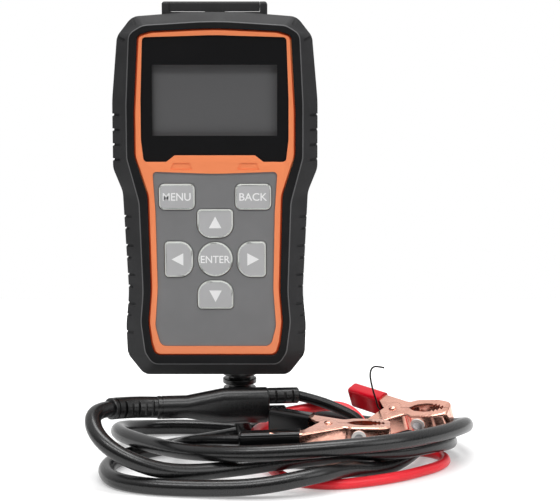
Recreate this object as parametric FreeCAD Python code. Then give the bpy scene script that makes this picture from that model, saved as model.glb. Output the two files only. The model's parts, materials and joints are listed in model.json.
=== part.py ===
import FreeCAD, Part
import math
import os

V = FreeCAD.Vector

# ------------------------------------------------------------------ driving dimensions, mm
# tester body: +X right, +Y away from the user, +Z up, table top at z = 0
base_height = 46.8            # underside of the boot above the table
boot_height = 198.2
tester_depth = 38.0
boot_shoulder = 55.2          # half widths of the boot
boot_waist = 47.4
boot_hip = 49.2
boot_foot = 39.6
boot_head = 44.0
boot_top_drop = 3.5           # fall of the top edge towards the corners
boot_slope_depth = 6.0        # depth of the sloped front band
boot_band = 7.9               # width of the sloped front band
boot_back_wall = 3.2
boot_back_edge = 3.0          # chamfer round the back
lip_width = 4.1               # front lip between band and bezel
groove_width = 1.4             # grooves between the grip pads on the sides
groove_side_depth = 0.9
groove_band_depth = 0.7
groove_reach = 5.2             # reach across the sloped band
groove_short_reach = 3.2
groove_corner_reach = 6.5
groove_pitch = 15.9
groove_count = 5
groove_offset = 9.4            # short groove above each long one
upper_groove_pitch = 8.0
upper_groove_count = 4

cover_width = 48.0
cover_height = 4.5
cover_depth = 19.9
cover_rear = 7.5               # rear edge of the cover behind the middle
cover_seat_depth = 1.0
cover_apron = 4.5              # block under the cover
cover_ear_width = 3.8
cover_pin_diameter = 1.6
cover_open_angle = 100.0

bezel_bottom_margin = 11.7
bezel_top_margin = 9.6
bezel_front_recess = 0.7      # bezel face behind the boot lip
bezel_edge = 0.9
body_step = 3.6               # housing wider than its bezel behind the lip
body_step_depth = 4.6
housing_wall = 2.2
housing_face = 1.6
boot_fit = 0.15
parting_gap = 1.0             # gasket thickness
part_y = 0.5                  # front face of the gasket

window_top_margin = 3.7
window_height = 67.4
window_half = 39.5
window_tab_half = 21.5
window_tab_height = 3.5
window_recess = 0.9
window_thickness = 1.8
seat_fit = 0.1
lcd_width = 67.0
lcd_height = 37.8
lcd_drop = 15.7               # window top edge down to the visible area
lcd_margin = 2.0
lcd_thickness = 1.8
lcd_frame_wall = 2.4

bar_height = 5.4
bar_slot_length = 12.0
bar_slot_inset = 12.0
bar_slot_depth = 0.6
keypad_half_top = 33.5
keypad_half_waist = 31.3
keypad_half_bottom = 31.9
keypad_bottom_margin = 5.1
keypad_recess = 0.8
keypad_thickness = 1.6
key_proud = 1.0
key_gap = 0.35
key_flange = 0.9
key_flange_depth = 0.9
key_travel = 1.0
key_corner = 3.2
menu_width = 19.4
menu_height = 14.0
menu_inset = 10.9             # inner edge from the centre line
menu_drop = 6.5               # keypad top down to the key
arrow_width = 19.4
arrow_height = 15.6
arrow_pitch = 19.4            # centre key to up and down key
side_key_width = 15.4
side_key_height = 19.4
side_key_pitch = 19.7
enter_diameter = 18.8
enter_drop = 47.5
mat_thickness = 1.6

pcb_thickness = 1.6
pcb_margin = 2.5
pcb_screw_diameter = 2.9
boss_diameter = 7.0
screw_diameter = 3.0
screw_head = 5.6
screw_head_depth = 2.2
insert_diameter = 4.4
insert_length = 6.0
boss_inset_x = 6.5
boss_inset_z = 9.0
buzzer_diameter = 12.0
buzzer_height = 5.0
resistor_length = 48.0
resistor_width = 13.0
resistor_height = 9.0
usb_width = 9.0
usb_height = 3.2
usb_depth = 8.0
label_width = 58.0
label_height = 42.0
label_thickness = 0.4

relief_x = 12.5
relief_diameter = 18.7
relief_length = 17.8
relief_neck = 12.0
relief_flange = 16.0
relief_core = 12.4

# cable and leads
cable_diameter = 8.6
lead_diameter = 5.6
splitter_joint = (-30.2, -33.0, 32.9)  # where the bent relief meets the moulded neck
splitter_yaw = 12.7
splitter_pitch = 1.5
splitter_thickness = 12.4
splitter_height = 19.5
splitter_relief_diameter = 11.6
splitter_relief_length = 29.0
splitter_relief_turn = 32.3    # the lead-in relief is bent towards the front
splitter_relief_rise = 3.8
splitter_neck_half = 6.2
splitter_neck_end = 15.0
splitter_flare_end = 35.0
splitter_body_end = 60.0
splitter_upper_end = 77.0
splitter_lower_end = 70.0
outlet_diameter = 8.8
outlet_offset = 4.9

# clamps: u towards the nose, v to the far side, w up; the pivot is the origin
clamp_height = 11.0
sheet = 1.0
bend_round = 1.3
layer_gap = 0.1
jaw_length = 32.8
jaw_half = 8.0
jaw_bulge_front = 25.5
jaw_bulge_back = 12.4
nose_half = 5.6
nose_round = 4.0
waist_ahead = 8.7
waist_half = 6.0
mouth_start = 9.6
mouth_depth = 3.9
tooth_depth = 1.2
tooth_pitch = 2.05
tooth_count = 4
jaw_gap = 0.15
lobe_radius = 5.0
lobe_gap = 0.12
lobe_rim = 1.1
lobe_under = 4.8
rivet_diameter = 3.0
rivet_fit = 0.06
rivet_head = 4.6
rivet_dome = 1.2
notch_back = 5.1
notch_angle = 57.0
far_splay = 24.5
near_bend = -13.6
near_centre = 15.2
near_turn = 4.0
open_angle = 18.0
handle_half = 3.0
near_handle = 16.5
far_handle = 32.0
near_grip = 33.0
far_grip = 37.5
near_grip_start = 0.9
far_grip_start = 12.8
grip_wall = 1.1
grip_height = 13.2
grip_corner = 2.3
near_grip_end_half = 3.9
near_grip_end_height = 8.8
washer_diameter = 7.8
washer_thickness = 0.9
washer_rim = 1.4
washer_ahead = 16.0
contact_rivet_diameter = 2.6
contact_length = 14.0
contact_thickness = 0.8
contact_height = 6.0
spring_wire = 1.0
spring_radius = 3.4
spring_turns = 3
crimp_diameter = 5.0
crimp_length = 9.0
black_pivot = (60.6, -51.5, 23.8)
black_yaw = -2.3
black_pitch = 0.0
black_roll = 5.0
red_pivot = (98.6, -8.1, 22.1)
red_yaw = -24.0
red_pitch = -6.1
red_roll = 23.8
tie_diameter = 1.0

# routes of the cable and the leads, hand placed
CABLE_ROUTE = [
    (12.5, 0, 29), (12.5, 0, 14), (21.5, 1.5, 4.3), (38, 5, 4.3), (58, 10.5, 4.3), (77, 12.5, 4.3),
    (94, 12, 5), (109, 3.5, 9.8), (115, -13, 10.4), (110, -30, 9.6), (98, -44, 5.2), (86, -56, 4.5),
    (70, -71, 9.9), (54, -87, 10.8), (24, -93, 6), (-8, -89, 4.3), (-36, -84, 4.3), (-53, -72, 4.3),
    (-58.5, -48, 4.3), (-49, -24, 4.3), (-26, -6, 4.3), (-2, 10, 4.3), (18, 14, 7), (34, 18, 14),
    (50, 27, 14), (72, 36, 8.5), (100, 38, 4.6), (126, 27, 7), (139, 4, 14), (137, -22, 20.5),
    (121, -48, 22.5), (97, -68.5, 23.3), (66, -77, 22.4), (40, -77.6, 20.2), (12, -74.2, 18.2),
    (-16, -60.5, 15.6), (-39, -34, 13.8), (-54.5, -12, 13.1), (-57, 14, 9.6), (-45, 34, 4.8),
    (-21, 38, 4.3), (4, 33, 4.3), (27, 26, 4.3), (50, 23, 4.3), (76, 25, 4.3), (104, 23.5, 4.3),
    (121, 12, 5.5), (130, -6, 7.5), (127, -25, 11.7), (117, -41, 14.4), (99, -53, 13.9),
    (72, -54.5, 13), (41, -58.5, 10.6), (12, -67, 8.6), (-10, -76, 8.8), (-27, -81.5, 11.6),
    (-42, -82, 17.2), (-53, -77.8, 22.8), (-60.5, -70, 28.6),
    (-63.2, -60.5, 34), (-60.1, -51.7, 36), (-54.7, -46.4, 35.4),
]
BLACK_ROUTE = [
    (44.2, -16.2, 35.7), (56, -19, 33.4), (67.5, -23, 29.6), (79, -27, 24.6), (83, -33, 13.5),
    (74, -36.5, 4.5), (60, -38, 2.8), (38, -36, 2.8), (14, -24, 2.8), (-6, -14, 3.2), (-19, -19, 6),
    (-24.5, -31, 10.5), (-20.5, -43, 15.2), (-11.5, -54, 20.3), (1.7, -61.1, 22.6),
    (14.6, -62.6, 22.7),
]
RED_ROUTE = [
    (37.5, -17.7, 26.4), (49, -15, 28), (61, -13.2, 29.4), (72.5, -15.8, 28.6), (80.5, -22.1, 21.5),
    (84.5, -25.3, 10), (96, -17.5, 2.8), (111, -10, 2.8), (122, -16.5, 2.8), (126.2, -28.5, 2.8),
    (121, -41, 2.8), (110, -52, 2.8), (97, -62.5, 2.8), (80, -71.5, 2.8), (64, -77, 2.8),
    (50, -75, 2.8), (38.5, -66, 2.8), (33, -54, 2.8), (28, -43, 4.4), (24, -32, 8.8),
    (21, -20, 12.2), (21.5, -8, 14.4), (28, 1.5, 14), (38, 5.2, 12.2), (47, 2.2, 11.6),
    (52.9, -0.8, 12.1),
]
TIE_ROUTE = [
    (94.3, -6.6, 21.9), (92.4, -6.9, 23.4), (90.6, -7.2, 25.5), (89.1, -8.2, 27.5),
    (88.6, -8.8, 30.3), (86.7, -9.0, 36.0), (85.5, -9.1, 40.8), (84.7, -9.2, 45.5),
    (85.3, -9.2, 48.8), (87.0, -9.1, 50.4), (89.8, -8.9, 50.1), (92.6, -8.7, 49.5),
]

# ------------------------------------------------------------------ derived levels
front_y = -tester_depth / 2
back_y = tester_depth / 2
boot_top = base_height + boot_height
bezel_bottom = base_height + bezel_bottom_margin
bezel_top = boot_top - bezel_top_margin
window_top = bezel_top - window_top_margin
window_bottom = window_top - window_height
keypad_top = window_bottom - bar_height
keypad_bottom = bezel_bottom + keypad_bottom_margin
enter_z = keypad_top - enter_drop
bezel_y = front_y + bezel_front_recess
window_y = bezel_y + window_recess
window_floor = window_y + window_thickness
keypad_y = bezel_y + keypad_recess
keypad_floor = keypad_y + keypad_thickness
inner_face = max(window_floor, keypad_floor) + housing_face
flange_y = inner_face + layer_gap
mat_y = flange_y + key_flange_depth + key_travel + layer_gap
pcb_y = mat_y + mat_thickness
pcb_back = pcb_y + pcb_thickness
rear_y = part_y + parting_gap
body_back = back_y - boot_back_wall - boot_fit
slope_y = front_y + boot_slope_depth
boot_shoulder_z = window_bottom - 3.8
bezel_shoulder_z = window_bottom + 3.1
waist_z = base_height + 45.5
relief_top = bezel_bottom - 0.3


# ------------------------------------------------------------------ helpers
def rounded_wire(points, to3d):
    """Closed wire through 2-D corners (a, b, radius), each corner rounded by its radius."""
    n = len(points)
    spans = []
    for i in range(n):
        a0, b0 = points[i - 1][:2]
        a1, b1, radius = points[i]
        a2, b2 = points[(i + 1) % n][:2]
        p0, p1, p2 = V(a0, b0, 0), V(a1, b1, 0), V(a2, b2, 0)
        d0 = p0 - p1
        d2 = p2 - p1
        turn = math.pi - d0.getAngle(d2)
        if radius <= 0 or turn < 1e-4:
            spans.append((p1, None, p1))
            continue
        cut = radius * math.tan(turn / 2)
        limit = 0.48 * min(d0.Length, d2.Length)
        if cut > limit:
            cut = limit
            radius = cut / math.tan(turn / 2)
        d0.normalize()
        d2.normalize()
        start = p1 + d0 * cut
        end = p1 + d2 * cut
        half = d0 + d2
        half.normalize()
        middle = p1 + half * (radius / math.cos(turn / 2) - radius)
        spans.append((start, middle, end))
    edges = []
    for i in range(n):
        start, middle, end = spans[i]
        following = spans[(i + 1) % n][0]
        if middle is not None:
            arc = Part.Arc(to3d(start.x, start.y), to3d(middle.x, middle.y), to3d(end.x, end.y))
            edges.append(arc.toShape())
        if (following - end).Length > 1e-6:
            line = Part.LineSegment(to3d(end.x, end.y), to3d(following.x, following.y))
            edges.append(line.toShape())
    return Part.Wire(edges)


def mirrored(right):
    """Full outline from its right half, which runs from the bottom to the top."""
    left = [(-x, z, r) for x, z, r in reversed(right) if x > 0.01]
    return right + left


def front_wire(right, y):
    """Outline in the X-Z plane at depth y."""
    return rounded_wire(mirrored(right), lambda a, b: V(a, y, b))


def slab(right, y0, y1):
    """Straight prism of an outline between two depths."""
    return Part.Face(front_wire(right, y0)).extrude(V(0, y1 - y0, 0))


def taper(right0, y0, right1, y1):
    """Prism whose outline changes between two depths."""
    return Part.makeLoft([front_wire(right0, y0), front_wire(right1, y1)], True, True)


def grown(right, amount):
    """Outline moved outwards (inwards when negative) by one distance."""
    low = min(z for _, z, _ in right)
    high = max(z for _, z, _ in right)
    middle = (low + high) / 2
    half = (high - low) / 2
    out = []
    for x, z, r in right:
        wider = x + amount if x > 0.01 else 0.0
        out.append((wider, z + amount * (z - middle) / half, max(r + amount, 0.3)))
    return out


def box(x0, x1, y0, y1, z0, z1):
    return Part.makeBox(x1 - x0, y1 - y0, z1 - z0, V(x0, y0, z0))


def rod(radius, start, end):
    start = V(*start)
    end = V(*end)
    return Part.makeCylinder(radius, (end - start).Length, start, end - start)


def fused(shapes):
    shapes = list(shapes)
    body = shapes[0]
    if len(shapes) > 1:
        body = body.fuse(shapes[1:])
    return body.removeSplitter()


def soften(shape, radius, chooser):
    """Round the edges that the chooser accepts."""
    edges = [e for e in shape.Edges if chooser(e)]
    return shape.makeFillet(radius, edges) if edges else shape


def route_tube(points, diameter, name):
    """Tube along straight runs joined by the largest tangent arcs; prints its radii."""
    pts = [V(*p) for p in points]
    edges = []
    radii = []
    length = 0.0
    cursor = pts[0]
    for i in range(1, len(pts) - 1):
        into = pts[i] - pts[i - 1]
        away = pts[i + 1] - pts[i]
        turn = into.getAngle(away)
        cut = 0.45 * min(into.Length, away.Length)
        radius = cut / math.tan(turn / 2)
        into.normalize()
        away.normalize()
        start = pts[i] - into * cut
        end = pts[i] + away * cut
        half = away - into
        half.normalize()
        middle = pts[i] + half * (radius / math.cos(turn / 2) - radius)
        edges.append(Part.LineSegment(cursor, start).toShape())
        edges.append(Part.Arc(start, middle, end).toShape())
        length += (start - cursor).Length + radius * turn
        radii.append(radius)
        cursor = end
    edges.append(Part.LineSegment(cursor, pts[-1]).toShape())
    length += (pts[-1] - cursor).Length
    path = Part.Wire(edges)
    first = pts[1] - pts[0]
    ring = Part.Wire([Part.Circle(pts[0], first, diameter / 2).toShape()])
    tube = path.makePipeShell([ring], True, False)
    expected = math.pi * (diameter / 2) ** 2 * length
    print(name, "length %.0f" % length, "volume ratio %.4f" % (tube.Volume / expected),
          "radii", " ".join("%.0f" % r for r in radii))
    return tube


def save(name, shape):
    shape.exportStep("parts/%s.step" % name)


# ------------------------------------------------------------------ outlines, right halves
def boot_outline():
    return [
        (boot_foot, base_height, 6.0),
        (boot_hip - 0.6, base_height + 11.5, 8.0),
        (boot_hip, base_height + 28.0, 30.0),
        (boot_waist, waist_z, 60.0),
        (boot_hip + 0.9, window_bottom - 16.5, 14.0),
        (boot_shoulder, boot_shoulder_z, 10.0),
        (boot_shoulder, boot_top - 48.0, 80.0),
        (boot_shoulder - 3.0, boot_top - 14.0, 8.0),
        (boot_head, boot_top - boot_top_drop, 8.0),
        (0.0, boot_top, 200.0),
    ]


def bezel_outline():
    inset = boot_band + lip_width
    return [
        (boot_foot - 6.4, bezel_bottom, 4.0),
        (boot_hip - 14.0, bezel_bottom + 6.6, 6.0),
        (boot_hip - inset - 0.6, bezel_bottom + 18.0, 20.0),
        (boot_waist - inset - 0.3, waist_z + 2.0, 60.0),
        (boot_hip - inset - 0.9, window_bottom - 18.3, 16.0),
        (boot_shoulder - inset, bezel_shoulder_z, 11.0),
        (boot_shoulder - inset, boot_top - 54.0, 80.0),
        (boot_shoulder - inset - 2.3, bezel_top - 3.8, 3.0),
        (boot_head - 10.0, bezel_top - 1.7, 8.0),
        (0.0, bezel_top, 200.0),
    ]


def ridge_outline():
    return [
        (boot_foot - 5.1, base_height + 6.9, 6.0),
        (boot_hip - 10.6, base_height + 13.4, 8.0),
        (boot_hip - boot_band - 0.6, base_height + 30.0, 25.0),
        (boot_waist - boot_band - 0.2, waist_z + 1.0, 60.0),
        (boot_hip - boot_band - 0.4, window_bottom - 22.0, 20.0),
        (boot_shoulder - boot_band, window_bottom + 2.0, 14.0),
        (boot_shoulder - boot_band, boot_top - 50.0, 80.0),
        (boot_shoulder - boot_band - 1.8, boot_top - 12.6, 6.0),
        (boot_head - 6.0, boot_top - 8.2, 9.0),
        (0.0, boot_top - 5.8, 200.0),
    ]


def window_outline():
    return [
        (window_tab_half, window_bottom + window_tab_height, 1.0),
        (window_tab_half + 4.5, window_bottom, 1.0),
        (window_half - 1.4, window_bottom, 2.0),
        (window_half, window_bottom + 12.0, 20.0),
        (window_half, window_top - 34.0, 60.0),
        (window_half - 1.2, window_top - 1.2, 2.0),
        (0.0, window_top, 200.0),
    ]


def keypad_outline():
    return [
        (keypad_half_bottom - 2.0, keypad_bottom, 4.0),
        (keypad_half_bottom + 0.9, keypad_bottom + 11.0, 12.0),
        (keypad_half_waist, waist_z + 3.0, 60.0),
        (keypad_half_waist + 0.8, keypad_top - 22.0, 60.0),
        (keypad_half_top, keypad_top, 2.0),
        (0.0, keypad_top - 1.2, 200.0),
    ]


def half_width(z):
    """Half width of the boot at one height, along its straight outline."""
    rows = boot_outline()
    for (x0, z0, _), (x1, z1, _) in zip(rows, rows[1:]):
        if z0 <= z <= z1:
            return x0 + (x1 - x0) * (z - z0) / (z1 - z0)
    return boot_waist


def boss_points():
    """Screw positions of the housing, (x, z)."""
    inset = boot_band + lip_width - body_step + housing_wall + boss_inset_x
    low = bezel_bottom + boss_inset_z
    high = bezel_top - boss_inset_z
    return [(s * (boot_hip - inset), low) for s in (-1, 1)] + \
        [(s * (boot_shoulder - inset), high) for s in (-1, 1)]


def pcb_points():
    """Screw positions of the circuit board, (x, z)."""
    inset = boot_band + lip_width + housing_wall + pcb_margin + 3.0
    low = keypad_bottom + 16.0
    high = keypad_top - 2.0
    return [(s * (boot_waist - inset), z) for s in (-1, 1) for z in (low, high)]


# ------------------------------------------------------------------ tester shell
def relief_passage(grow=0.15):
    return rod(relief_neck / 2 + grow, (relief_x, 0, base_height - 5), (relief_x, 0, relief_top))


def band_groove(x, z, turn, reach):
    """Cutter for a groove from one place on the outline across the sloped band, turned from +X."""
    slope = math.atan2(boot_slope_depth, boot_band)
    nx, nz = math.cos(math.radians(turn)), math.sin(math.radians(turn))
    along = V(nx * math.cos(slope), math.sin(slope), nz * math.cos(slope))
    inward = V(-nx * math.sin(slope), math.cos(slope), -nz * math.sin(slope))
    cutter = box(-reach, groove_side_depth, -2.0, groove_band_depth, -groove_width / 2, groove_width / 2)
    turned = FreeCAD.Rotation(along, inward, along.cross(inward), "XYZ")
    cutter.Placement = FreeCAD.Placement(V(x, slope_y, z), turned)
    return cutter


def side_groove(z, reach):
    """Cutter for one groove of the right side, over the band and along the side wall."""
    x = half_width(z)
    wall = box(x - groove_side_depth, x + 2.0, slope_y - 1.0, back_y - boot_back_edge - 1.5,
               z - groove_width / 2, z + groove_width / 2)
    return band_groove(x, z, 0.0, reach).fuse(wall)


def grip_grooves():
    """Cutters for the grooves of the right side and its two corners."""
    low = waist_z - 21.6
    cutters = []
    for i in range(groove_count):
        z = low + i * groove_pitch
        cutters.append(side_groove(z, groove_reach))
        if i < groove_count - 1:
            cutters.append(side_groove(z + groove_offset, groove_short_reach))
    for i in range(upper_groove_count):
        cutters.append(side_groove(window_bottom + 0.9 + i * upper_groove_pitch, groove_reach))
    corners = [
        (boot_head, boot_top - boot_top_drop, 65.0), (boot_shoulder - 3.0, boot_top - 14.0, 25.0),
        (boot_foot, base_height, -60.0), (boot_hip - 0.6, base_height + 11.5, -25.0),
    ]
    for x, z, turn in corners:
        cutters.append(band_groove(x, z, turn, groove_corner_reach))
    return cutters


def make_boot():
    outer = boot_outline()
    shell = fused([
        taper(ridge_outline(), front_y, outer, slope_y),
        slab(outer, slope_y, back_y - boot_back_edge),
        taper(outer, back_y - boot_back_edge, grown(outer, -boot_back_edge), back_y),
    ])
    bezel_hole = slab(grown(bezel_outline(), boot_fit), front_y - 1, body_front() + 1)
    body_hole = slab(grown(bezel_outline(), body_step + boot_fit), body_front() - boot_fit,
                     body_back + boot_fit)
    shell = shell.cut(bezel_hole.fuse(body_hole))
    ear_x = cover_width / 2 + 0.3
    y0, y1 = cover_span()
    ears = []
    for side in (-1, 1):
        x0, x1 = sorted((side * ear_x, side * (ear_x + cover_ear_width)))
        ear = box(x0, x1, y0, y1, boot_top - 3, boot_top + cover_height)
        outer_x = side * (ear_x + cover_ear_width)
        top = boot_top + cover_height
        ear = soften(ear, 1.5, lambda e: abs(e.CenterOfMass.z - top) < 0.01
                     and (abs(e.CenterOfMass.x - outer_x) < 0.01 or e.CenterOfMass.y < y0 + 0.1))
        ears.append(ear)
    seat_floor = boot_top - cover_seat_depth
    apron_x = ear_x + cover_ear_width
    apron = box(-apron_x, apron_x, y0, y1, boot_top - cover_apron, boot_top - cover_seat_depth / 2)
    shell = shell.fuse(ears + [apron]).removeSplitter()
    seat = box(-ear_x, ear_x, front_y, y1 + 0.3, seat_floor, boot_top + 10)
    shell = shell.cut(seat)
    slot_x = usb_width / 2 + 1.5
    slot = box(-slot_x, slot_x, pcb_back - 0.8, pcb_back + usb_height + 0.8, bezel_top, boot_top + 1)
    shell = shell.cut(slot)
    px, pz = pin_position()
    reach = ear_x + cover_ear_width - 1.2
    shell = shell.cut(rod(cover_pin_diameter / 2, (-reach, px, pz), (reach, px, pz)))
    cuts = [relief_passage(0.0)]
    for cutter in grip_grooves():
        cuts += [cutter, cutter.mirror(V(0, 0, 0), V(1, 0, 0))]
    for x, z in boss_points():
        cuts.append(rod(screw_head / 2 + 1.0, (x, body_back - 1, z), (x, back_y + 1, z)))
    label_z = (bezel_top + window_bottom) / 2 - 4.0
    cuts.append(box(-label_width / 2 - 0.2, label_width / 2 + 0.2, back_y - label_thickness, back_y + 1,
                    label_z - label_height / 2 - 0.2, label_z + label_height / 2 + 0.2))
    return shell.cut(cuts)


def body_front():
    """Depth at which the housing widens behind the boot lip."""
    return bezel_y + body_step_depth


def cover_span():
    return cover_rear - cover_depth, cover_rear


def pin_position():
    """Depth and height of the cover's hinge pin."""
    return cover_span()[1] - 2.2, boot_top + cover_height / 2


def make_cover():
    y0, y1 = cover_span()
    py, pz = pin_position()
    knuckle = cover_height / 2
    plate = box(-cover_width / 2, cover_width / 2, y0, py, boot_top - 0.7, boot_top + cover_height)
    plate = soften(plate, 1.4, lambda e: abs(e.CenterOfMass.z - boot_top - cover_height) < 0.01
                   and e.CenterOfMass.y < y0 + 0.1)
    roll = rod(knuckle, (-cover_width / 2, py, pz), (cover_width / 2, py, pz))
    below = box(-cover_width, cover_width, py - knuckle - 1.2, py + 10, boot_top - 2, boot_top + 0.05)
    plug = box(-usb_width / 2 - 0.8, usb_width / 2 + 0.8, pcb_back, pcb_back + usb_height,
               boot_top - 3.0, boot_top)
    plug = plug.cut(box(-cover_width, cover_width, pcb_back + usb_height - 0.6, 10, -1, boot_top - 1.2))
    cover = fused([plate.cut(below), roll, plug])
    return cover.cut(rod(cover_pin_diameter / 2 + 0.06, (-cover_width, py, pz), (cover_width, py, pz)))


def make_cover_pin():
    py, pz = pin_position()
    reach = cover_width / 2 + 0.3 + cover_ear_width - 1.2
    return rod(cover_pin_diameter / 2, (-reach, py, pz), (reach, py, pz))


def make_front_housing():
    bezel = bezel_outline()
    body = grown(bezel, body_step)
    shell = fused([
        taper(grown(bezel, -bezel_edge), bezel_y, bezel, bezel_y + bezel_edge),
        slab(bezel, bezel_y + bezel_edge, body_front()),
        slab(body, body_front(), part_y),
    ])
    hollow = slab(grown(bezel, -housing_wall), inner_face, body_front() + housing_wall)
    hollow = hollow.fuse(slab(grown(body, -housing_wall), body_front() + housing_wall, part_y + 1))
    shell = shell.cut(hollow)
    cuts = [
        slab(grown(window_outline(), seat_fit), bezel_y - 1, window_floor),
        slab(grown(keypad_outline(), seat_fit), bezel_y - 1, keypad_floor),
        lcd_box(lcd_margin, window_floor - 1, inner_face + 1),
        relief_passage(0.0),
        usb_slot(0.6),
    ]
    for centre in (-1, 1):
        a = centre * bar_slot_inset
        b = centre * (bar_slot_inset + bar_slot_length)
        low, high = keypad_top + 1.1, window_bottom - 0.6
        points = [(a, low, 0.4), (b, low, 0.4), (b - centre * 1.6, high, 0.4), (a + centre * 1.6, high, 0.4)]
        wire = rounded_wire(points, lambda x, z: V(x, bezel_y - 1, z))
        cuts.append(Part.Face(wire).extrude(V(0, 1 + bar_slot_depth, 0)))
    for _, points in key_shapes():
        cuts.append(key_prism(points, key_gap, bezel_y - 1, inner_face + 1))
    shell = shell.cut(cuts)
    bosses = []
    for x, z in boss_points():
        post = rod(boss_diameter / 2, (x, inner_face - 0.5, z), (x, part_y, z))
        bosses.append(post)
    for x, z in pcb_points():
        bosses.append(rod(2.6, (x, inner_face - 0.5, z), (x, pcb_y, z)))
    shell = shell.fuse(bosses).removeSplitter()
    drills = []
    for x, z in boss_points():
        drills.append(rod(insert_diameter / 2, (x, part_y - insert_length, z), (x, part_y + 1, z)))
    for x, z in pcb_points():
        drills.append(rod(pcb_screw_diameter / 2 - 0.2, (x, pcb_y - 3.2, z), (x, pcb_y + 1, z)))
    return shell.cut(drills)


def make_rear_housing():
    body = grown(bezel_outline(), body_step)
    shell = slab(body, rear_y, body_back)
    shell = shell.cut(slab(grown(body, -housing_wall), rear_y - 1, body_back - housing_wall))
    posts = [rod(boss_diameter / 2, (x, rear_y, z), (x, body_back - 0.5, z)) for x, z in boss_points()]
    shell = shell.fuse(posts).removeSplitter()
    cuts = [relief_passage(0.0)]
    for x, z in boss_points():
        cuts.append(rod(screw_diameter / 2 + 0.2, (x, rear_y - 1, z), (x, body_back + 1, z)))
        cuts.append(rod(screw_head / 2 + 0.2, (x, body_back - screw_head_depth, z), (x, body_back + 1, z)))
    return shell.cut(cuts)


def make_gasket():
    body = grown(bezel_outline(), body_step - 0.4)
    ring = slab(body, part_y, rear_y).cut(slab(grown(bezel_outline(), body_step - 2.0), part_y - 1, rear_y + 1))
    cuts = [relief_passage(0.0)]
    return ring.cut(cuts)


# ------------------------------------------------------------------ display
def lcd_box(margin, y0, y1):
    top = window_top - lcd_drop + margin
    return box(-lcd_width / 2 - margin, lcd_width / 2 + margin, y0, y1, top - lcd_height - 2 * margin, top)


def make_window():
    plate = slab(window_outline(), window_y, window_floor)
    plate = plate.cut(lcd_box(0.0, window_y - 1, window_floor + 1))
    return plate


def make_lcd():
    return lcd_box(lcd_margin - 0.3, flange_y, flange_y + lcd_thickness)


def make_lcd_frame():
    outer = lcd_box(lcd_margin + lcd_frame_wall, flange_y, pcb_y)
    return outer.cut(lcd_box(lcd_margin - 0.2, flange_y - 1, pcb_y + 1))


def make_backlight():
    return lcd_box(lcd_margin - 0.3, flange_y + lcd_thickness, pcb_y)


# ------------------------------------------------------------------ keypad
def key_shapes():
    """Name and 2-D outline (x, z, radius) of every key."""
    top = keypad_top - menu_drop
    low = top - menu_height
    r = key_corner
    keys = []
    for name, s in (("key_menu", -1), ("key_back", 1)):
        a = s * menu_inset
        b = s * (menu_inset + menu_width)
        keys.append((name, [(a, low, r), (b, low, r), (b, top, r), (a, top, r)]))
    w = arrow_width / 2
    for name, s in (("key_up", 1), ("key_down", -1)):
        inner = enter_z + s * (arrow_pitch - arrow_height / 2)
        outer = enter_z + s * (arrow_pitch + arrow_height / 2)
        keys.append((name, [(-w, inner, 7.6), (w, inner, 7.6), (w, outer, 2.2), (-w, outer, 2.2)]))
    h = side_key_height / 2
    for name, s in (("key_left", -1), ("key_right", 1)):
        inner = s * (side_key_pitch - side_key_width / 2)
        outer = s * (side_key_pitch + side_key_width / 2)
        keys.append((name, [(inner, enter_z - h, 7.4), (outer, enter_z - h, 2.2),
                            (outer, enter_z + h, 2.2), (inner, enter_z + h, 7.4)]))
    keys.append(("key_enter", None))
    return keys


def key_prism(points, grow, y0, y1):
    """Prism of one key outline, grown all round."""
    if points is None:
        return rod(enter_diameter / 2 + grow, (0, y0, enter_z), (0, y1, enter_z))
    cx = sum(p[0] for p in points) / 4
    cz = sum(p[1] for p in points) / 4
    bigger = []
    for x, z, r in points:
        bigger.append((x + math.copysign(grow, x - cx), z + math.copysign(grow, z - cz), r + grow))
    wire = rounded_wire(bigger, lambda a, b: V(a, y0, b))
    return Part.Face(wire).extrude(V(0, y1 - y0, 0))


def make_keypad_plate():
    plate = slab(keypad_outline(), keypad_y, keypad_floor)
    return plate.cut([key_prism(p, key_gap, keypad_y - 1, keypad_floor + 1) for _, p in key_shapes()])


def make_key(points):
    crown = key_prism(points, 0.0, keypad_y - key_proud, flange_y + 0.2)
    crown = soften(crown, 0.6, lambda e: abs(e.CenterOfMass.y - keypad_y + key_proud) < 0.01)
    flange = key_prism(points, key_flange, flange_y, flange_y + key_flange_depth)
    return fused([crown, flange])


def make_mat():
    margin = 1.8
    half = keypad_half_waist - 5.0
    sheet_top = keypad_top - menu_drop + 1.5
    sheet_low = keypad_bottom + 18.5
    mat = box(-half, half, mat_y, pcb_y, sheet_low, sheet_top)
    cuts = [rod(3.2 + margin / 2, (x, mat_y - 1, z), (x, pcb_y + 1, z)) for x, z in pcb_points()]
    return mat.cut(cuts)


# ------------------------------------------------------------------ electronics
def usb_slot(grow):
    w = usb_width / 2 + grow
    return box(-w, w, pcb_back - grow, pcb_back + usb_height + grow, bezel_top - 4, boot_top + 1)


def board_outline():
    return grown(bezel_outline(), -housing_wall - pcb_margin)


def make_pcb():
    board = slab(board_outline(), pcb_y, pcb_back)
    cuts = [rod(boss_diameter / 2 + 0.4, (x, pcb_y - 1, z), (x, pcb_back + 1, z)) for x, z in boss_points()]
    cuts += [rod(pcb_screw_diameter / 2, (x, pcb_y - 1, z), (x, pcb_back + 1, z)) for x, z in pcb_points()]
    return board.cut(cuts)


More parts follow.
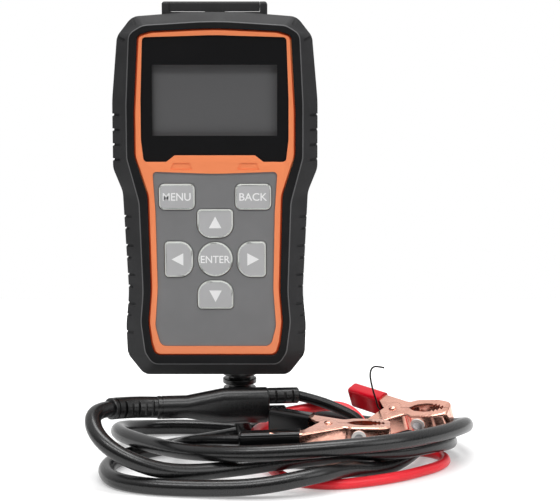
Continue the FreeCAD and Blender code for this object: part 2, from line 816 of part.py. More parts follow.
def make_components():
    high = window_bottom + 10.0
    blocks = [
        box(-12, 12, pcb_back, pcb_back + 1.6, high, high + 24),
        box(-28, -18, pcb_back, pcb_back + 2.2, high + 4, high + 14),
        box(18, 29, pcb_back, pcb_back + 3.0, high + 2, high + 12),
        box(-18, -4, pcb_back, pcb_back + 1.4, keypad_top - 18, keypad_top - 6),
        rod(4.0, (-20, pcb_back, high - 14), (-20, pcb_back + 6.5, high - 14)),
        rod(4.0, (-8, pcb_back, high - 14), (-8, pcb_back + 6.5, high - 14)),
    ]
    return Part.makeCompound(blocks)


def make_resistor():
    z0 = keypad_bottom + 24.0
    body = box(-resistor_width / 2 - 14, resistor_width / 2 - 14, pcb_back + 0.0,
               pcb_back + resistor_height, z0 - 4, z0 - 4 + resistor_length)
    return soften(body, 1.0, lambda e: abs(e.CenterOfMass.y - pcb_back - resistor_height) < 0.01)


def make_usb():
    top = bezel_top - housing_wall - pcb_margin - 0.2
    shell = box(-usb_width / 2, usb_width / 2, pcb_back, pcb_back + usb_height, top - usb_depth, top)
    core = box(-usb_width / 2 + 0.5, usb_width / 2 - 0.5, pcb_back + 0.5, pcb_back + usb_height - 0.5,
               top - usb_depth + 2, top + 1)
    tongue = box(-usb_width / 2 + 1.6, usb_width / 2 - 1.6, pcb_back + 1.2, pcb_back + usb_height - 1.2,
                 top - usb_depth + 1, top - 0.8)
    return fused([shell.cut(core), tongue])


def make_buzzer():
    x = 18.0
    z = keypad_top - 30.0
    body = rod(buzzer_diameter / 2, (x, pcb_back, z), (x, pcb_back + buzzer_height, z))
    return body.cut(rod(1.2, (x, pcb_back + buzzer_height - 1, z), (x, pcb_back + buzzer_height + 1, z)))


def make_housing_screws():
    screws = []
    for x, z in boss_points():
        head_y = body_back - screw_head_depth
        head = rod(screw_head / 2, (x, head_y, z), (x, body_back - 0.2, z))
        shank = rod(screw_diameter / 2, (x, part_y - insert_length + 0.6, z), (x, head_y, z))
        slot = box(x - 1.8, x + 1.8, body_back - 1.2, body_back, z - 0.4, z + 0.4)
        cross = box(x - 0.4, x + 0.4, body_back - 1.2, body_back, z - 1.8, z + 1.8)
        screws.append(fused([head, shank]).cut([slot, cross]))
    return Part.makeCompound(screws)


def make_inserts():
    rings = []
    for x, z in boss_points():
        ring = rod(insert_diameter / 2, (x, part_y - insert_length, z), (x, part_y, z))
        rings.append(ring.cut(rod(screw_diameter / 2, (x, part_y - insert_length - 1, z), (x, part_y + 1, z))))
    return Part.makeCompound(rings)


def make_pcb_screws():
    screws = []
    for x, z in pcb_points():
        head = rod(2.5, (x, pcb_back, z), (x, pcb_back + 1.5, z))
        shank = rod(pcb_screw_diameter / 2 - 0.2, (x, pcb_y - 3.2, z), (x, pcb_back + 0.1, z))
        screws.append(fused([head, shank]))
    return Part.makeCompound(screws)


def harness_place():
    return relief_x, keypad_bottom + 6.5


def make_harness_connector():
    x, z = harness_place()
    return box(x - 6, x + 6, pcb_back, pcb_back + 5.5, z - 3, z + 3)


def make_inner_wires():
    """Four wires from the strain relief up to the plug on the circuit board."""
    x, z = harness_place()
    wires = []
    flange_top = relief_top + 2.0
    for i in range(4):
        dx = (i - 1.5) * 2.4
        top_y = pcb_back + 2.8
        pts = [(x + dx, 0.9, flange_top), (x + dx, 0.6, flange_top + 3.0), (x + dx, top_y, z - 3.0)]
        path = Part.Wire([Part.LineSegment(V(*pts[0]), V(*pts[1])).toShape(),
                          Part.LineSegment(V(*pts[1]), V(*pts[2])).toShape()])
        ring = Part.Wire([Part.Circle(V(*pts[0]), V(*pts[1]) - V(*pts[0]), 0.9).toShape()])
        wires.append(path.makePipeShell([ring], True, False, 2))
    return Part.makeCompound(wires)


def make_label():
    label_z = (bezel_top + window_bottom) / 2 - 4.0
    return box(-label_width / 2, label_width / 2, back_y - label_thickness, back_y,
               label_z - label_height / 2, label_z + label_height / 2)


def make_strain_relief():
    low = base_height - relief_length
    half = relief_diameter / 2
    parts = [
        rod(relief_core / 2, (relief_x, 0, low), (relief_x, 0, base_height)),
        rod(half, (relief_x, 0, base_height - 2.6), (relief_x, 0, base_height)),
        rod(relief_neck / 2, (relief_x, 0, base_height), (relief_x, 0, relief_top)),
        rod(relief_flange / 2, (relief_x, 0, relief_top), (relief_x, 0, relief_top + 2.0)),
        rod(half - 1.6, (relief_x, 0, low), (relief_x, 0, low + 2.8)),
    ]
    for i in range(2):
        z0 = base_height - 7.4 - i * 5.0
        rib = rod(half - 0.3 * i, (relief_x, 0, z0), (relief_x, 0, z0 + 2.8))
        parts.append(rib)
    body = fused(parts)
    return soften(body, 0.5, lambda e: e.Curve.TypeId == "Part::GeomCircle"
                  and abs(e.Curve.Radius - half) < 0.7 and e.CenterOfMass.z < base_height - 0.1)


# ------------------------------------------------------------------ splitter
def splitter_section(s, half_t, half_h, mid_z, corner):
    """Rounded section across the splitter at distance s along it."""
    corner = min(corner, half_t - 0.05, half_h - 0.05)
    pts = [(-half_t, mid_z - half_h, corner), (half_t, mid_z - half_h, corner),
           (half_t, mid_z + half_h, corner), (-half_t, mid_z + half_h, corner)]
    return rounded_wire(pts, lambda t, z: V(s, t, z))


def side_slots(positions, radius, width, depth, frame):
    """Slots let into the front and the back of a round relief at distances along it."""
    cuts = []
    for s in positions:
        for side in (-1, 1):
            y = sorted((side * (radius - depth), side * (radius + 2)))
            slot = box(-width / 2, width / 2, y[0], y[1], -radius - 1, radius + 1)
            slot.Placement = frame(s)
            cuts.append(slot)
    return cuts


def make_lead_in():
    """Bent relief of the splitter, from its joint (at the origin) back to where the cable enters."""
    r = splitter_relief_diameter / 2
    bend = splitter_relief_length / math.radians(splitter_relief_turn)
    disc = Part.Face(Part.Wire(Part.makeCircle(r, V(0, 0, 0), V(1, 0, 0))))
    relief = disc.revolve(V(0, -bend, 0), V(0, 0, 1), splitter_relief_turn)
    ends = [e for e in relief.Edges if e.CenterOfMass.x < -2 and e.Length < 7 * r]
    if ends:
        relief = relief.makeFillet(0.8, ends)

    def frame(s):
        turn = FreeCAD.Placement(V(0, 0, 0), FreeCAD.Rotation(V(0, 0, 1), math.degrees(s / bend)), V(0, -bend, 0))
        return turn

    cuts = side_slots((4.2, 13.0, 21.5), r, 1.4, 2.1, frame)
    cuts += side_slots((8.6, 17.2), r, 1.3, 1.0, frame)
    ring = rod(r + 1, (0, 0, 0), (0.7, 0, 0)).cut(rod(r - 0.7, (-1, 0, 0), (2, 0, 0)))
    ring.Placement = frame(splitter_relief_length - 2.6)
    relief = relief.cut(cuts + [ring])
    relief.Placement = FreeCAD.Placement(V(0, 0, 0), FreeCAD.Rotation(V(0, 1, 0), splitter_relief_rise))
    return relief


def make_splitter():
    half_t = splitter_thickness / 2
    half_h = splitter_height / 2
    neck = splitter_neck_half
    round_neck = neck - 0.2
    waist = Part.makeLoft([
        splitter_section(-1.2, neck, neck, 0, round_neck),
        splitter_section(splitter_neck_end, neck, neck, 0, round_neck),
    ], True, True)
    waist = soften(waist, 0.8, lambda e: abs(e.CenterOfMass.x + 1.2) < 0.01)
    groove = rod(neck + 2, (0.9, 0, 0), (1.5, 0, 0)).cut(rod(neck - 0.4, (0, 0, 0), (3, 0, 0)))
    waist = waist.cut(groove)
    flare = Part.makeLoft([
        splitter_section(splitter_neck_end, neck, neck, 0, round_neck),
        splitter_section((splitter_neck_end + splitter_flare_end) / 2, neck, (neck + half_h) / 2, 0, round_neck),
        splitter_section(splitter_flare_end, half_t, half_h, 0, round_neck),
    ], True, True)
    block = Part.makeLoft([
        splitter_section(splitter_flare_end, half_t, half_h, 0, round_neck),
        splitter_section(splitter_body_end, half_t, half_h, 0, round_neck),
    ], True, True)
    block = soften(block, 1.6, lambda e: abs(e.CenterOfMass.x - splitter_body_end) < 0.01)
    outlets = []
    for side, end in ((1, splitter_upper_end), (-1, splitter_lower_end)):
        z = side * outlet_offset
        r = outlet_diameter / 2
        tube = rod(r, (splitter_body_end - 4, 0, z), (end, 0, z))
        tube = soften(tube, 1.2, lambda e, stop=end: abs(e.CenterOfMass.x - stop) < 0.01)

        def frame(s, level=z):
            return FreeCAD.Placement(V(s, 0, level), FreeCAD.Rotation())

        tube = tube.cut(side_slots((splitter_body_end + 3.8,), r, 1.3, 1.7, frame))
        if side > 0:
            tube = tube.cut(side_slots((splitter_body_end + 13.2,), r, 1.3, 1.7, frame))
            tube = tube.cut(side_slots((splitter_body_end + 8.8,), r, 1.2, 0.9, frame))
        outlets.append(tube)
    body = fused([make_lead_in(), waist, flare, block] + outlets)
    turn = FreeCAD.Rotation(V(0, 0, 1), splitter_yaw).multiply(FreeCAD.Rotation(V(0, 1, 0), splitter_pitch))
    body.Placement = FreeCAD.Placement(V(*splitter_joint), turn)
    return body


# ------------------------------------------------------------------ clamps
def far_offset():
    """Distance of the far handle's centre line from the pivot; its edge runs on from the waist."""
    splay = math.radians(far_splay)
    return waist_ahead * math.sin(splay) + waist_half * math.cos(splay) - handle_half


def handle_frame(side):
    """Placement of one handle (side -1 near, 1 far): x towards the nose, y to the far side."""
    if side > 0:
        splay = math.radians(far_splay)
        base = V(far_offset() * math.sin(splay), far_offset() * math.cos(splay), 0)
        return FreeCAD.Placement(base, FreeCAD.Rotation(V(0, 0, 1), -far_splay))
    return FreeCAD.Placement(V(near_bend, -near_centre, 0), FreeCAD.Rotation(V(0, 0, 1), -near_turn))


def handle_point(side, s, t):
    """Point at distance s back along a handle and t outwards from its centre line."""
    p = handle_frame(side).multVec(V(-s, side * t, 0))
    return p.x, p.y


def handle_length(side):
    return near_handle if side < 0 else far_handle


def grip_start(side):
    return near_grip_start if side < 0 else far_grip_start


def plan_wire(points, w):
    return rounded_wire(points, lambda a, b: V(a, b, w))


def plan_slab(points, w0, w1):
    return Part.Face(plan_wire(points, w0)).extrude(V(0, 0, w1 - w0))


def outer_path(side, inset, beyond=0.0):
    """Outer edge of one half from its nose to its handle's end, moved in by inset."""
    k = inset
    pts = [
        (jaw_length - k, nose_half - k, nose_round - k),
        (jaw_bulge_front, jaw_half - k, 9.0 - k),
        (jaw_bulge_back, jaw_half - k, 6.0 - k),
        (waist_ahead, waist_half - k, 5.0 + k),
    ]
    pts = [(u, side * v, r) for u, v, r in pts]
    if side < 0:
        u, v = handle_point(side, 0.0, handle_half - k)
        pts.append((u, v, 5.0))
    u, v = handle_point(side, handle_length(side) - k + beyond, handle_half - k)
    pts.append((u, v, 0.0))
    return pts


def meeting(p, d, q, e):
    """Crossing of the line through p along d with the line through q along e."""
    k = ((q[0] - p[0]) * e[1] - (q[1] - p[1]) * e[0]) / (d[0] * e[1] - d[1] * e[0])
    return p[0] + k * d[0], p[1] + k * d[1]


def half_plan(side):
    """Outline of one clamp half seen from above."""
    pts = [(jaw_length, side * jaw_gap, 0.0)] + outer_path(side, 0.0)
    end = handle_point(side, handle_length(side), -handle_half)
    back = handle_point(side, handle_length(side) + 1.0, -handle_half)
    angle = math.radians(notch_angle)
    tip = (-notch_back, side * jaw_gap)
    corner = meeting(tip, (-math.cos(angle), side * math.sin(angle)), end, (back[0] - end[0], back[1] - end[1]))
    pts.append((end[0], end[1], 0.0))
    pts.append((corner[0], corner[1], 1.5))
    if side < 0:
        pts.append((tip[0], tip[1], 0.0))
    else:
        turn = math.radians(open_angle + 1.0)
        free = meeting((0, 0), (-math.cos(turn), math.sin(turn)), tip, (-math.cos(angle), math.sin(angle)))
        pts.append((free[0], free[1], 0.0))
        pts.append((0.0, jaw_gap, 0.0))
    pts.append((mouth_start, side * jaw_gap, 0.0))
    pts.append((mouth_start + 3.6, side * mouth_depth * 0.72, 3.0))
    pts.append((mouth_start + 9.0, side * mouth_depth, 6.0))
    base = mouth_start + 13.4
    high = mouth_depth * 0.92
    pts.append((base, side * high, 0.0))
    for i in range(tooth_count):
        u = base + i * tooth_pitch
        fall = high * (1 - ((i + 1) / tooth_count) ** 2)
        pts.append((u + 0.5, side * max(fall - tooth_depth, jaw_gap), 0.0))
        if i < tooth_count - 1:
            pts.append((u + tooth_pitch - 0.1, side * (fall + 0.35), 0.0))
    return pts


def on_path(point, path):
    """True where a point lies within 1.2 mm of a polyline."""
    for (a, b, _), (c, d, _) in zip(path, path[1:]):
        run = V(c - a, d - b, 0)
        off = V(point.x - a, point.y - b, 0)
        k = max(0.0, min(1.0, off.dot(run) / run.dot(run)))
        if (off - run * k).Length < 1.2:
            return True
    return False


def make_jaw(side):
    """One bent-sheet clamp half: top and bottom plates joined by an outer web."""
    high = clamp_height / 2
    block = plan_slab(half_plan(side), -high, high)
    rim = [(jaw_length, side * jaw_gap, 0.0)] + outer_path(side, 0.0)
    block = soften(block, bend_round, lambda e: abs(abs(e.CenterOfMass.z) - high) < 0.01
                   and abs(e.CenterOfMass.y) > 0.6 and on_path(e.CenterOfMass, rim))
    hollow = outer_path(side, sheet, 4.0) + [(-60, -side * 30, 0), (jaw_length - sheet, -side * 30, 0)]
    shell = block.cut(plan_slab(hollow, -high + sheet, high - sheet))
    if side < 0:
        lobes = [rod(lobe_radius, (0, 0, low), (0, 0, low + sheet)) for low in (-high, high - sheet)]
        shell = fused([shell] + lobes)
        opening = rod(washer_diameter / 2 - washer_rim, (0, -3, 0), (0, 2.5, 0))
        opening.Placement = web_frame()
        cuts = [rod(rivet_diameter / 2, (0, 0, -20), (0, 0, 20)), opening]
    else:
        shell = shell.cut(rod(lobe_radius + lobe_gap, (0, 0, -20), (0, 0, 20)))
        shell = fused([shell] + far_lobes(high))
        cuts = [rod(rivet_diameter / 2 + rivet_fit, (0, 0, -20), (0, 0, 20))]
    return shell.cut(cuts)


def far_lobes(high):
    """Discs of the far half that lie under the near half's, each stepped down from its plate."""
    reach = lobe_radius + lobe_gap + lobe_rim
    lobes = []
    for s in (-1, 1):
        top = high - sheet - layer_gap
        disc = rod(lobe_under, (0, 0, s * (top - sheet)), (0, 0, s * top))
        shelf = rod(reach, (0, 0, s * (top - sheet)), (0, 0, s * top))
        step = rod(reach, (0, 0, s * (top - sheet)), (0, 0, s * (high - sheet)))
        step = step.cut(rod(lobe_radius + lobe_gap, (0, 0, -20), (0, 0, 20)))
        side = box(-9, 9, 3.0, 12, -20, 20)
        lobes += [disc, shelf.common(side), step.common(side)]
    return lobes


def web_frame():
    """Placement of the insulated rivet: on the near web's outer face, y pointing inwards."""
    return FreeCAD.Placement(V(washer_ahead, -jaw_half, 0), FreeCAD.Rotation())


def make_rivet():
    high = clamp_height / 2
    shank = rod(rivet_diameter / 2, (0, 0, -high - 0.5), (0, 0, high + 0.5))
    heads = []
    for s in (-1, 1):
        disc = Part.makeSphere(rivet_head / 2, V(0, 0, 0))
        flat = FreeCAD.Matrix()
        flat.scale(1, 1, 2 * rivet_dome / rivet_head)
        disc = disc.transformGeometry(flat)
        disc.translate(V(0, 0, s * high))
        half = box(-20, 20, -20, 20, *sorted((s * high, s * (high + 10))))
        heads.append(disc.common(half))
    return fused([shank] + heads)


def make_insulator():
    big = washer_diameter / 2
    small = big - washer_rim
    ring = fused([
        rod(big, (0, -washer_thickness, 0), (0, 0, 0)),
        rod(small - 0.05, (0, 0, 0), (0, sheet, 0)),
        rod(big, (0, sheet, 0), (0, sheet + washer_thickness, 0)),
    ])
    ring = ring.cut(rod(contact_rivet_diameter / 2, (0, -5, 0), (0, 5, 0)))
    ring.Placement = web_frame()
    return ring


def make_contact_rivet():
    r = contact_rivet_diameter / 2
    end = sheet + washer_thickness + contact_thickness
    body = fused([
        rod(r + 1.1, (0, -washer_thickness - 0.7, 0), (0, -washer_thickness, 0)),
        rod(r, (0, -washer_thickness, 0), (0, end, 0)),
        rod(r + 0.8, (0, end, 0), (0, end + 0.6, 0)),
    ])
    body.Placement = web_frame()
    return body


def make_contact():
    """Insulated sensing strip inside the near jaw."""
    y0 = sheet + washer_thickness
    strip = box(-4.5, contact_length - 4.5, y0, y0 + contact_thickness, -contact_height / 2, contact_height / 2)
    strip = strip.cut(rod(contact_rivet_diameter / 2, (0, 0, 0), (0, 9, 0)))
    strip.Placement = web_frame()
    return strip


def make_spring():
    """Coil round the rivet with the leg that bears on the near handle."""
    inner = clamp_height / 2 - 2 * sheet - layer_gap - 0.3
    pitch = spring_wire + 0.15
    height = spring_turns * pitch
    low = -height / 2
    coils = []
    for i in range(spring_turns + 1):
        ring = Part.makeTorus(spring_radius, spring_wire / 2, V(0, 0, low + i * (spring_wire * 0.96)))
        coils.append(ring)
    near = handle_point(-1, -1.0, handle_half - sheet - spring_wire / 2 - 0.9)
    start = (-0.5, -spring_radius, low)
    leg = rod(spring_wire / 2, start, (near[0], near[1], low))
    assert height < 2 * inner
    return fused(coils + [leg])


def make_spring_leg():
    """The spring's other leg, lying along the far handle."""
    lateral = handle_half - sheet - spring_wire / 2 - 0.1
    far = handle_point(1, 20.0, lateral)
    begin = handle_point(1, 6.0, lateral)
    w = spring_wire * 1.6
    return rod(spring_wire / 2, (begin[0], begin[1], w), (far[0], far[1], w))


def grip_section(s, half_w, half_h):
    """Rounded section of a grip, s back along its handle."""
    corners = [(-half_w, -half_h), (half_w, -half_h), (half_w, half_h), (-half_w, half_h)]
    return rounded_wire([(a, b, grip_corner) for a, b in corners], lambda t, w: V(-s, t, w))


def make_grip(side):
    """Vinyl sleeve over one handle; the near one goes on over the lead."""
    start = grip_start(side)
    end = near_grip if side < 0 else far_grip
    wide = handle_half + grip_wall
    high = grip_height / 2
    if side < 0:
        last = grip_section(end, near_grip_end_half, near_grip_end_height / 2)
    else:
        last = grip_section(end, wide, high)
    sleeve = Part.makeLoft([grip_section(start, wide, high), last], True, True)
    sleeve = soften(sleeve, grip_corner - 0.3, lambda e: abs(e.CenterOfMass.x + end) < 0.01)
    inside = clamp_height / 2
    pocket = box(-handle_length(side) - 0.1, -start + 6, -handle_half, handle_half, -inside, inside)
    sleeve = sleeve.cut(pocket)
    if side < 0:
        sleeve = sleeve.cut(rod(lead_diameter / 2, (-near_handle + 2, 0, 0), (-near_grip - 2, 0, 0)))
    sleeve.Placement = handle_frame(side)
    return sleeve


def make_crimp():
    """Barrel that joins the lead's core to the near handle."""
    barrel = rod(crimp_diameter / 2, (-near_handle + crimp_length, 0, 0), (-near_handle + 0.5, 0, 0))
    core = rod(lead_diameter / 2 - 0.1, (-near_handle + 0.5, 0, 0), (-near_grip + 1.0, 0, 0))
    crimp = fused([barrel, core])
    crimp.Placement = handle_frame(-1)
    return crimp


def place(shape, pivot, yaw, pitch, roll):
    turn = FreeCAD.Rotation(V(0, 0, 1), yaw).multiply(FreeCAD.Rotation(V(0, 1, 0), pitch))
    turn = turn.multiply(FreeCAD.Rotation(V(1, 0, 0), roll))
    out = shape.copy()
    out.Placement = FreeCAD.Placement(V(*pivot), turn).multiply(shape.Placement)
    return out


def make_clamp():
    return {
        "fixed_jaw": make_jaw(-1),
        "moving_jaw": make_jaw(1),
        "pivot_rivet": make_rivet(),
        "spring": make_spring(),
        "spring_leg": make_spring_leg(),
        "contact": make_contact(),
        "insulator": make_insulator(),
        "contact_rivet": make_contact_rivet(),
        "fixed_grip": make_grip(-1),
        "moving_grip": make_grip(1),
        "wire_crimp": make_crimp(),
    }


# ------------------------------------------------------------------ build everything
def main():
    os.makedirs("parts", exist_ok=True)
    pieces = {
        "rubber_boot": make_boot(),
        "port_cover": make_cover(),
        "cover_pin": make_cover_pin(),
        "front_housing": make_front_housing(),
        "rear_housing": make_rear_housing(),
        "housing_gasket": make_gasket(),
        "display_window": make_window(),
        "lcd_glass": make_lcd(),
        "lcd_frame": make_lcd_frame(),
        "backlight_guide": make_backlight(),
        "keypad_plate": make_keypad_plate(),
        "key_mat": make_mat(),
        "main_pcb": make_pcb(),
        "pcb_components": make_components(),
        "load_resistor": make_resistor(),
        "usb_socket": make_usb(),
        "buzzer": make_buzzer(),
        "housing_screws": make_housing_screws(),
        "threaded_inserts": make_inserts(),
        "pcb_screws": make_pcb_screws(),
        "harness_connector": make_harness_connector(),
        "inner_wires": make_inner_wires(),
        "back_label": make_label(),
        "strain_relief": make_strain_relief(),
        "splitter": make_splitter(),
    }
    for name, points in key_shapes():
        pieces[name] = make_key(points)
    clamp = make_clamp()
    for colour, pivot, yaw, pitch, roll in (("black", black_pivot, black_yaw, black_pitch, black_roll),
                                            ("red", red_pivot, red_yaw, red_pitch, red_roll)):
        for name, shape in clamp.items():
            pieces[colour + "_" + name] = place(shape, pivot, yaw, pitch, roll)
    pieces["main_cable"] = route_tube(CABLE_ROUTE, cable_diameter, "main_cable")
    pieces["black_lead"] = route_tube(BLACK_ROUTE, lead_diameter, "black_lead")
    pieces["red_lead"] = route_tube(RED_ROUTE, lead_diameter, "red_lead")
    pieces["wire_tie"] = route_tube(TIE_ROUTE, tie_diameter, "wire_tie")
    for name, shape in pieces.items():
        ok = shape.isValid()
        print(name, "solids", len(shape.Solids), "valid", ok, "volume %.0f" % shape.Volume)
        save(name, shape)
    print(len(pieces), "pieces")


main()
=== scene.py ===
"""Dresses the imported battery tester: cables first, then the body, the keys and the two clamps."""

from __future__ import annotations

import json
import logging
import math
from dataclasses import dataclass, field
from enum import Enum
from typing import Callable, ClassVar, Iterable, Sequence

import bmesh
import bpy
from mathutils import Euler, Matrix, Vector

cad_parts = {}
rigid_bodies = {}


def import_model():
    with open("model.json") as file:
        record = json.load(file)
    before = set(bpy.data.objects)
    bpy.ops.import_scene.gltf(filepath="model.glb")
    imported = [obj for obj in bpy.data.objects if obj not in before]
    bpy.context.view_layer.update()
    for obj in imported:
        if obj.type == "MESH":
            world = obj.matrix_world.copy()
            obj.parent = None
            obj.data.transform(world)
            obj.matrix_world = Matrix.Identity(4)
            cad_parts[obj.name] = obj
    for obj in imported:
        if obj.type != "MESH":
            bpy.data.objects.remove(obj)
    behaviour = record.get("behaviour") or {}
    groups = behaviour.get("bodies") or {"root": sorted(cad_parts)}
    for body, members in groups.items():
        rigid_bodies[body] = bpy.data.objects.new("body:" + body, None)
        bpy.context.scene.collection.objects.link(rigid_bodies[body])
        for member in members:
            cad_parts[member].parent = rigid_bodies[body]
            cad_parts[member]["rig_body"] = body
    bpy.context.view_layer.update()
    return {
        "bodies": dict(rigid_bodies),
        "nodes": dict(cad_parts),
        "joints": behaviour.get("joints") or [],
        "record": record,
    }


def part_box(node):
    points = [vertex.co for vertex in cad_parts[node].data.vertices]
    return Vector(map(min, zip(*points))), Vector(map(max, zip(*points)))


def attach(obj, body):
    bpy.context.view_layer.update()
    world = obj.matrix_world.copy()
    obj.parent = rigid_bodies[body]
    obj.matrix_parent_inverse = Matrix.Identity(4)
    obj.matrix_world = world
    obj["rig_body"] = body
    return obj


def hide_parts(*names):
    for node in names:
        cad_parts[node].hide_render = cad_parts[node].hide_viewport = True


LOG = logging.getLogger("battery_tester")
MM = 0.001
SHARP_ANGLE = 32.0  # degrees; edges above it stay sharp
FRONT_FACING = -0.98  # faces whose normal has a lower Y look at the viewer
FRONT_DEPTH = 0.0002  # metres behind the foremost point that still count as the front
NOISE_BAND = (0.3, 0.7)  # nearly all noise values lie between these
MARK_LEVEL = 0.62  # noise above it becomes a handling mark
RANGE_SOCKETS = ("From Min", "From Max", "To Min", "To Max")
Point = tuple[float, float, float]
Colour = tuple[float, float, float]
Limits = tuple[float, float, float, float]


def linear(red: float, green: float, blue: float) -> Colour:
    """Turns display values of 0 to 255 into the linear colour that shaders read.

    Args:
        red: display red.
        green: display green.
        blue: display blue.

    Returns:
        The linear colour.
    """

    def one(value: float) -> float:
        """Converts a single channel."""
        part = value / 255.0
        return part / 12.92 if part <= 0.04045 else ((part + 0.055) / 1.055) ** 2.4

    return one(red), one(green), one(blue)


# ---------------------------------------------------------------- shader benches


class NodeBench:
    """Lays out shader nodes in one tree and links them."""

    def __init__(self, tree: bpy.types.NodeTree) -> None:
        """Keeps the tree that the nodes go into."""
        self.tree = tree
        self.column = 0

    def add(self, kind: str, **values: object) -> bpy.types.Node:
        """Adds a node and sets its properties.

        Args:
            kind: the node's type name.
            values: properties of the node.

        Returns:
            The new node.
        """
        node = self.tree.nodes.new(kind)
        node.location = (220 * (self.column % 8), -260 * (self.column // 8))
        self.column += 1
        for name, value in values.items():
            setattr(node, name, value)
        return node

    def link(self, source: bpy.types.NodeSocket, target: bpy.types.NodeSocket) -> None:
        """Joins two sockets."""
        self.tree.links.new(source, target)

    def math(self, operation: str, first: object, second: object = 0.5) -> bpy.types.NodeSocket:
        """Adds a Math node.

        Args:
            operation: the node's operation.
            first: a socket or a number.
            second: a socket or a number.

        Returns:
            The result's socket.
        """
        node = self.add("ShaderNodeMath", operation=operation)
        for socket, value in zip(node.inputs, (first, second)):
            if isinstance(value, (int, float)):
                socket.default_value = value
            else:
                self.link(value, socket)
        return node.outputs[0]

    def ramp(
        self, factor: bpy.types.NodeSocket, stops: Sequence[tuple[float, Colour]],
    ) -> bpy.types.NodeSocket:
        """Adds a colour ramp.

        Args:
            factor: what drives it.
            stops: positions with their colours.

        Returns:
            The colour's socket.
        """
        node = self.add("ShaderNodeValToRGB")
        elements = node.color_ramp.elements
        while len(elements) < len(stops):
            elements.new(0.5)
        for element, (place, colour) in zip(elements, stops):
            element.position = place
            element.color = (*colour, 1.0)
        self.link(factor, node.inputs[0])
        return node.outputs[0]

    def noise(
        self, vector: bpy.types.NodeSocket, scale: object, detail: float = 2.0, roughness: float = 0.5,
    ) -> bpy.types.NodeSocket:
        """Adds a noise texture.

        Args:
            vector: where it is read.
            scale: a socket or a number.
            detail: its number of octaves.
            roughness: the weight of the finer octaves.

        Returns:
            The value's socket.
        """
        node = self.add("ShaderNodeTexNoise", noise_dimensions="3D")
        node.inputs["Detail"].default_value = detail
        node.inputs["Roughness"].default_value = roughness
        self.link(vector, node.inputs["Vector"])
        if isinstance(scale, float):
            node.inputs["Scale"].default_value = scale
        else:
            self.link(scale, node.inputs["Scale"])
        return node.outputs["Fac"]

    def remap(
        self, value: bpy.types.NodeSocket, limits: Limits, interpolation: str = "LINEAR",
    ) -> bpy.types.NodeSocket:
        """Maps a value from one range to another.

        Args:
            value: what is mapped.
            limits: the ends of the first range and of the second.
            interpolation: how it runs between them.

        Returns:
            The result's socket.
        """
        node = self.add("ShaderNodeMapRange", interpolation_type=interpolation)
        self.link(value, node.inputs["Value"])
        for name, limit in zip(RANGE_SOCKETS, limits):
            node.inputs[name].default_value = limit
        return node.outputs["Result"]

    def bump(self, height: bpy.types.NodeSocket, strength: float, distance: float) -> bpy.types.NodeSocket:
        """Adds a bump.

        Args:
            height: the relief.
            strength: how much of it shows.
            distance: its depth in metres.

        Returns:
            The normal's socket.
        """
        node = self.add("ShaderNodeBump")
        node.inputs["Strength"].default_value = strength
        node.inputs["Distance"].default_value = distance
        self.link(height, node.inputs["Height"])
        return node.outputs[0]


class GroupShelf:
    """Builds each shared shader group once and hands it out by name."""

    _made: dict[str, bpy.types.NodeTree] = {}

    @classmethod
    def get(cls, name: str, maker: Callable[[bpy.types.NodeTree], None]) -> bpy.types.NodeTree:
        """Returns the group of that name, made on first use."""
        if name not in cls._made:
            tree = bpy.data.node_groups.new(name, "ShaderNodeTree")
            maker(tree)
            cls._made[name] = tree
        return cls._made[name]


def _sockets(tree: bpy.types.NodeTree, inputs: dict[str, float], outputs: Iterable[str]) -> None:
    """Gives a group its number inputs with defaults and its number outputs."""
    for name, value in inputs.items():
        socket = tree.interface.new_socket(name, in_out="INPUT", socket_type="NodeSocketFloat")
        socket.default_value = value
    for name in outputs:
        tree.interface.new_socket(name, in_out="OUTPUT", socket_type="NodeSocketFloat")


def make_moulded_grain(tree: bpy.types.NodeTree) -> None:
    """Fills the group for a moulded skin: fine grain, soft blotches and handling marks."""
    _sockets(tree, {"Grain": 2500.0, "Blotch": 60.0}, ("Height", "Blotches", "Marks"))
    bench = NodeBench(tree)
    inside = bench.add("NodeGroupInput")
    outside = bench.add("NodeGroupOutput")
    place = bench.add("ShaderNodeTexCoord")
    grain = bench.noise(place.outputs["Object"], inside.outputs["Grain"], detail=3.0, roughness=0.6)
    blotch = bench.noise(place.outputs["Object"], inside.outputs["Blotch"], detail=4.0)
    stretched = bench.add("ShaderNodeMapping")
    stretched.inputs["Scale"].default_value = (1.0, 1.0, 0.18)
    stretched.inputs["Rotation"].default_value = (0.3, 0.5, 0.9)
    bench.link(place.outputs["Object"], stretched.inputs["Vector"])
    marks = bench.noise(stretched.outputs["Vector"], scale=420.0, detail=5.0)
    rarest = bench.math("GREATER_THAN", marks, MARK_LEVEL)
    bench.link(grain, outside.inputs["Height"])
    bench.link(blotch, outside.inputs["Blotches"])
    bench.link(rarest, outside.inputs["Marks"])


def make_brushed_relief(tree: bpy.types.NodeTree) -> None:
    """Fills the group for stamped, plated metal: rolling lines, dents and stain."""
    _sockets(tree, {"Lines": 900.0, "Stain": 110.0}, ("Height", "Stains", "Streaks"))
    bench = NodeBench(tree)
    inside = bench.add("NodeGroupInput")
    outside = bench.add("NodeGroupOutput")
    place = bench.add("ShaderNodeTexCoord")
    turn = bench.add("ShaderNodeMapping")
    turn.inputs["Scale"].default_value = (0.06, 1.0, 1.0)
    bench.link(place.outputs["Object"], turn.inputs["Vector"])
    lines = bench.noise(turn.outputs["Vector"], inside.outputs["Lines"], detail=4.0)
    stain = bench.noise(place.outputs["Object"], inside.outputs["Stain"], detail=6.0, roughness=0.65)
    dents = bench.noise(place.outputs["Object"], scale=260.0)
    bench.link(bench.math("ADD", bench.math("MULTIPLY", lines, 0.25), dents), outside.inputs["Height"])
    bench.link(stain, outside.inputs["Stains"])
    bench.link(lines, outside.inputs["Streaks"])


# ---------------------------------------------------------------- finishes


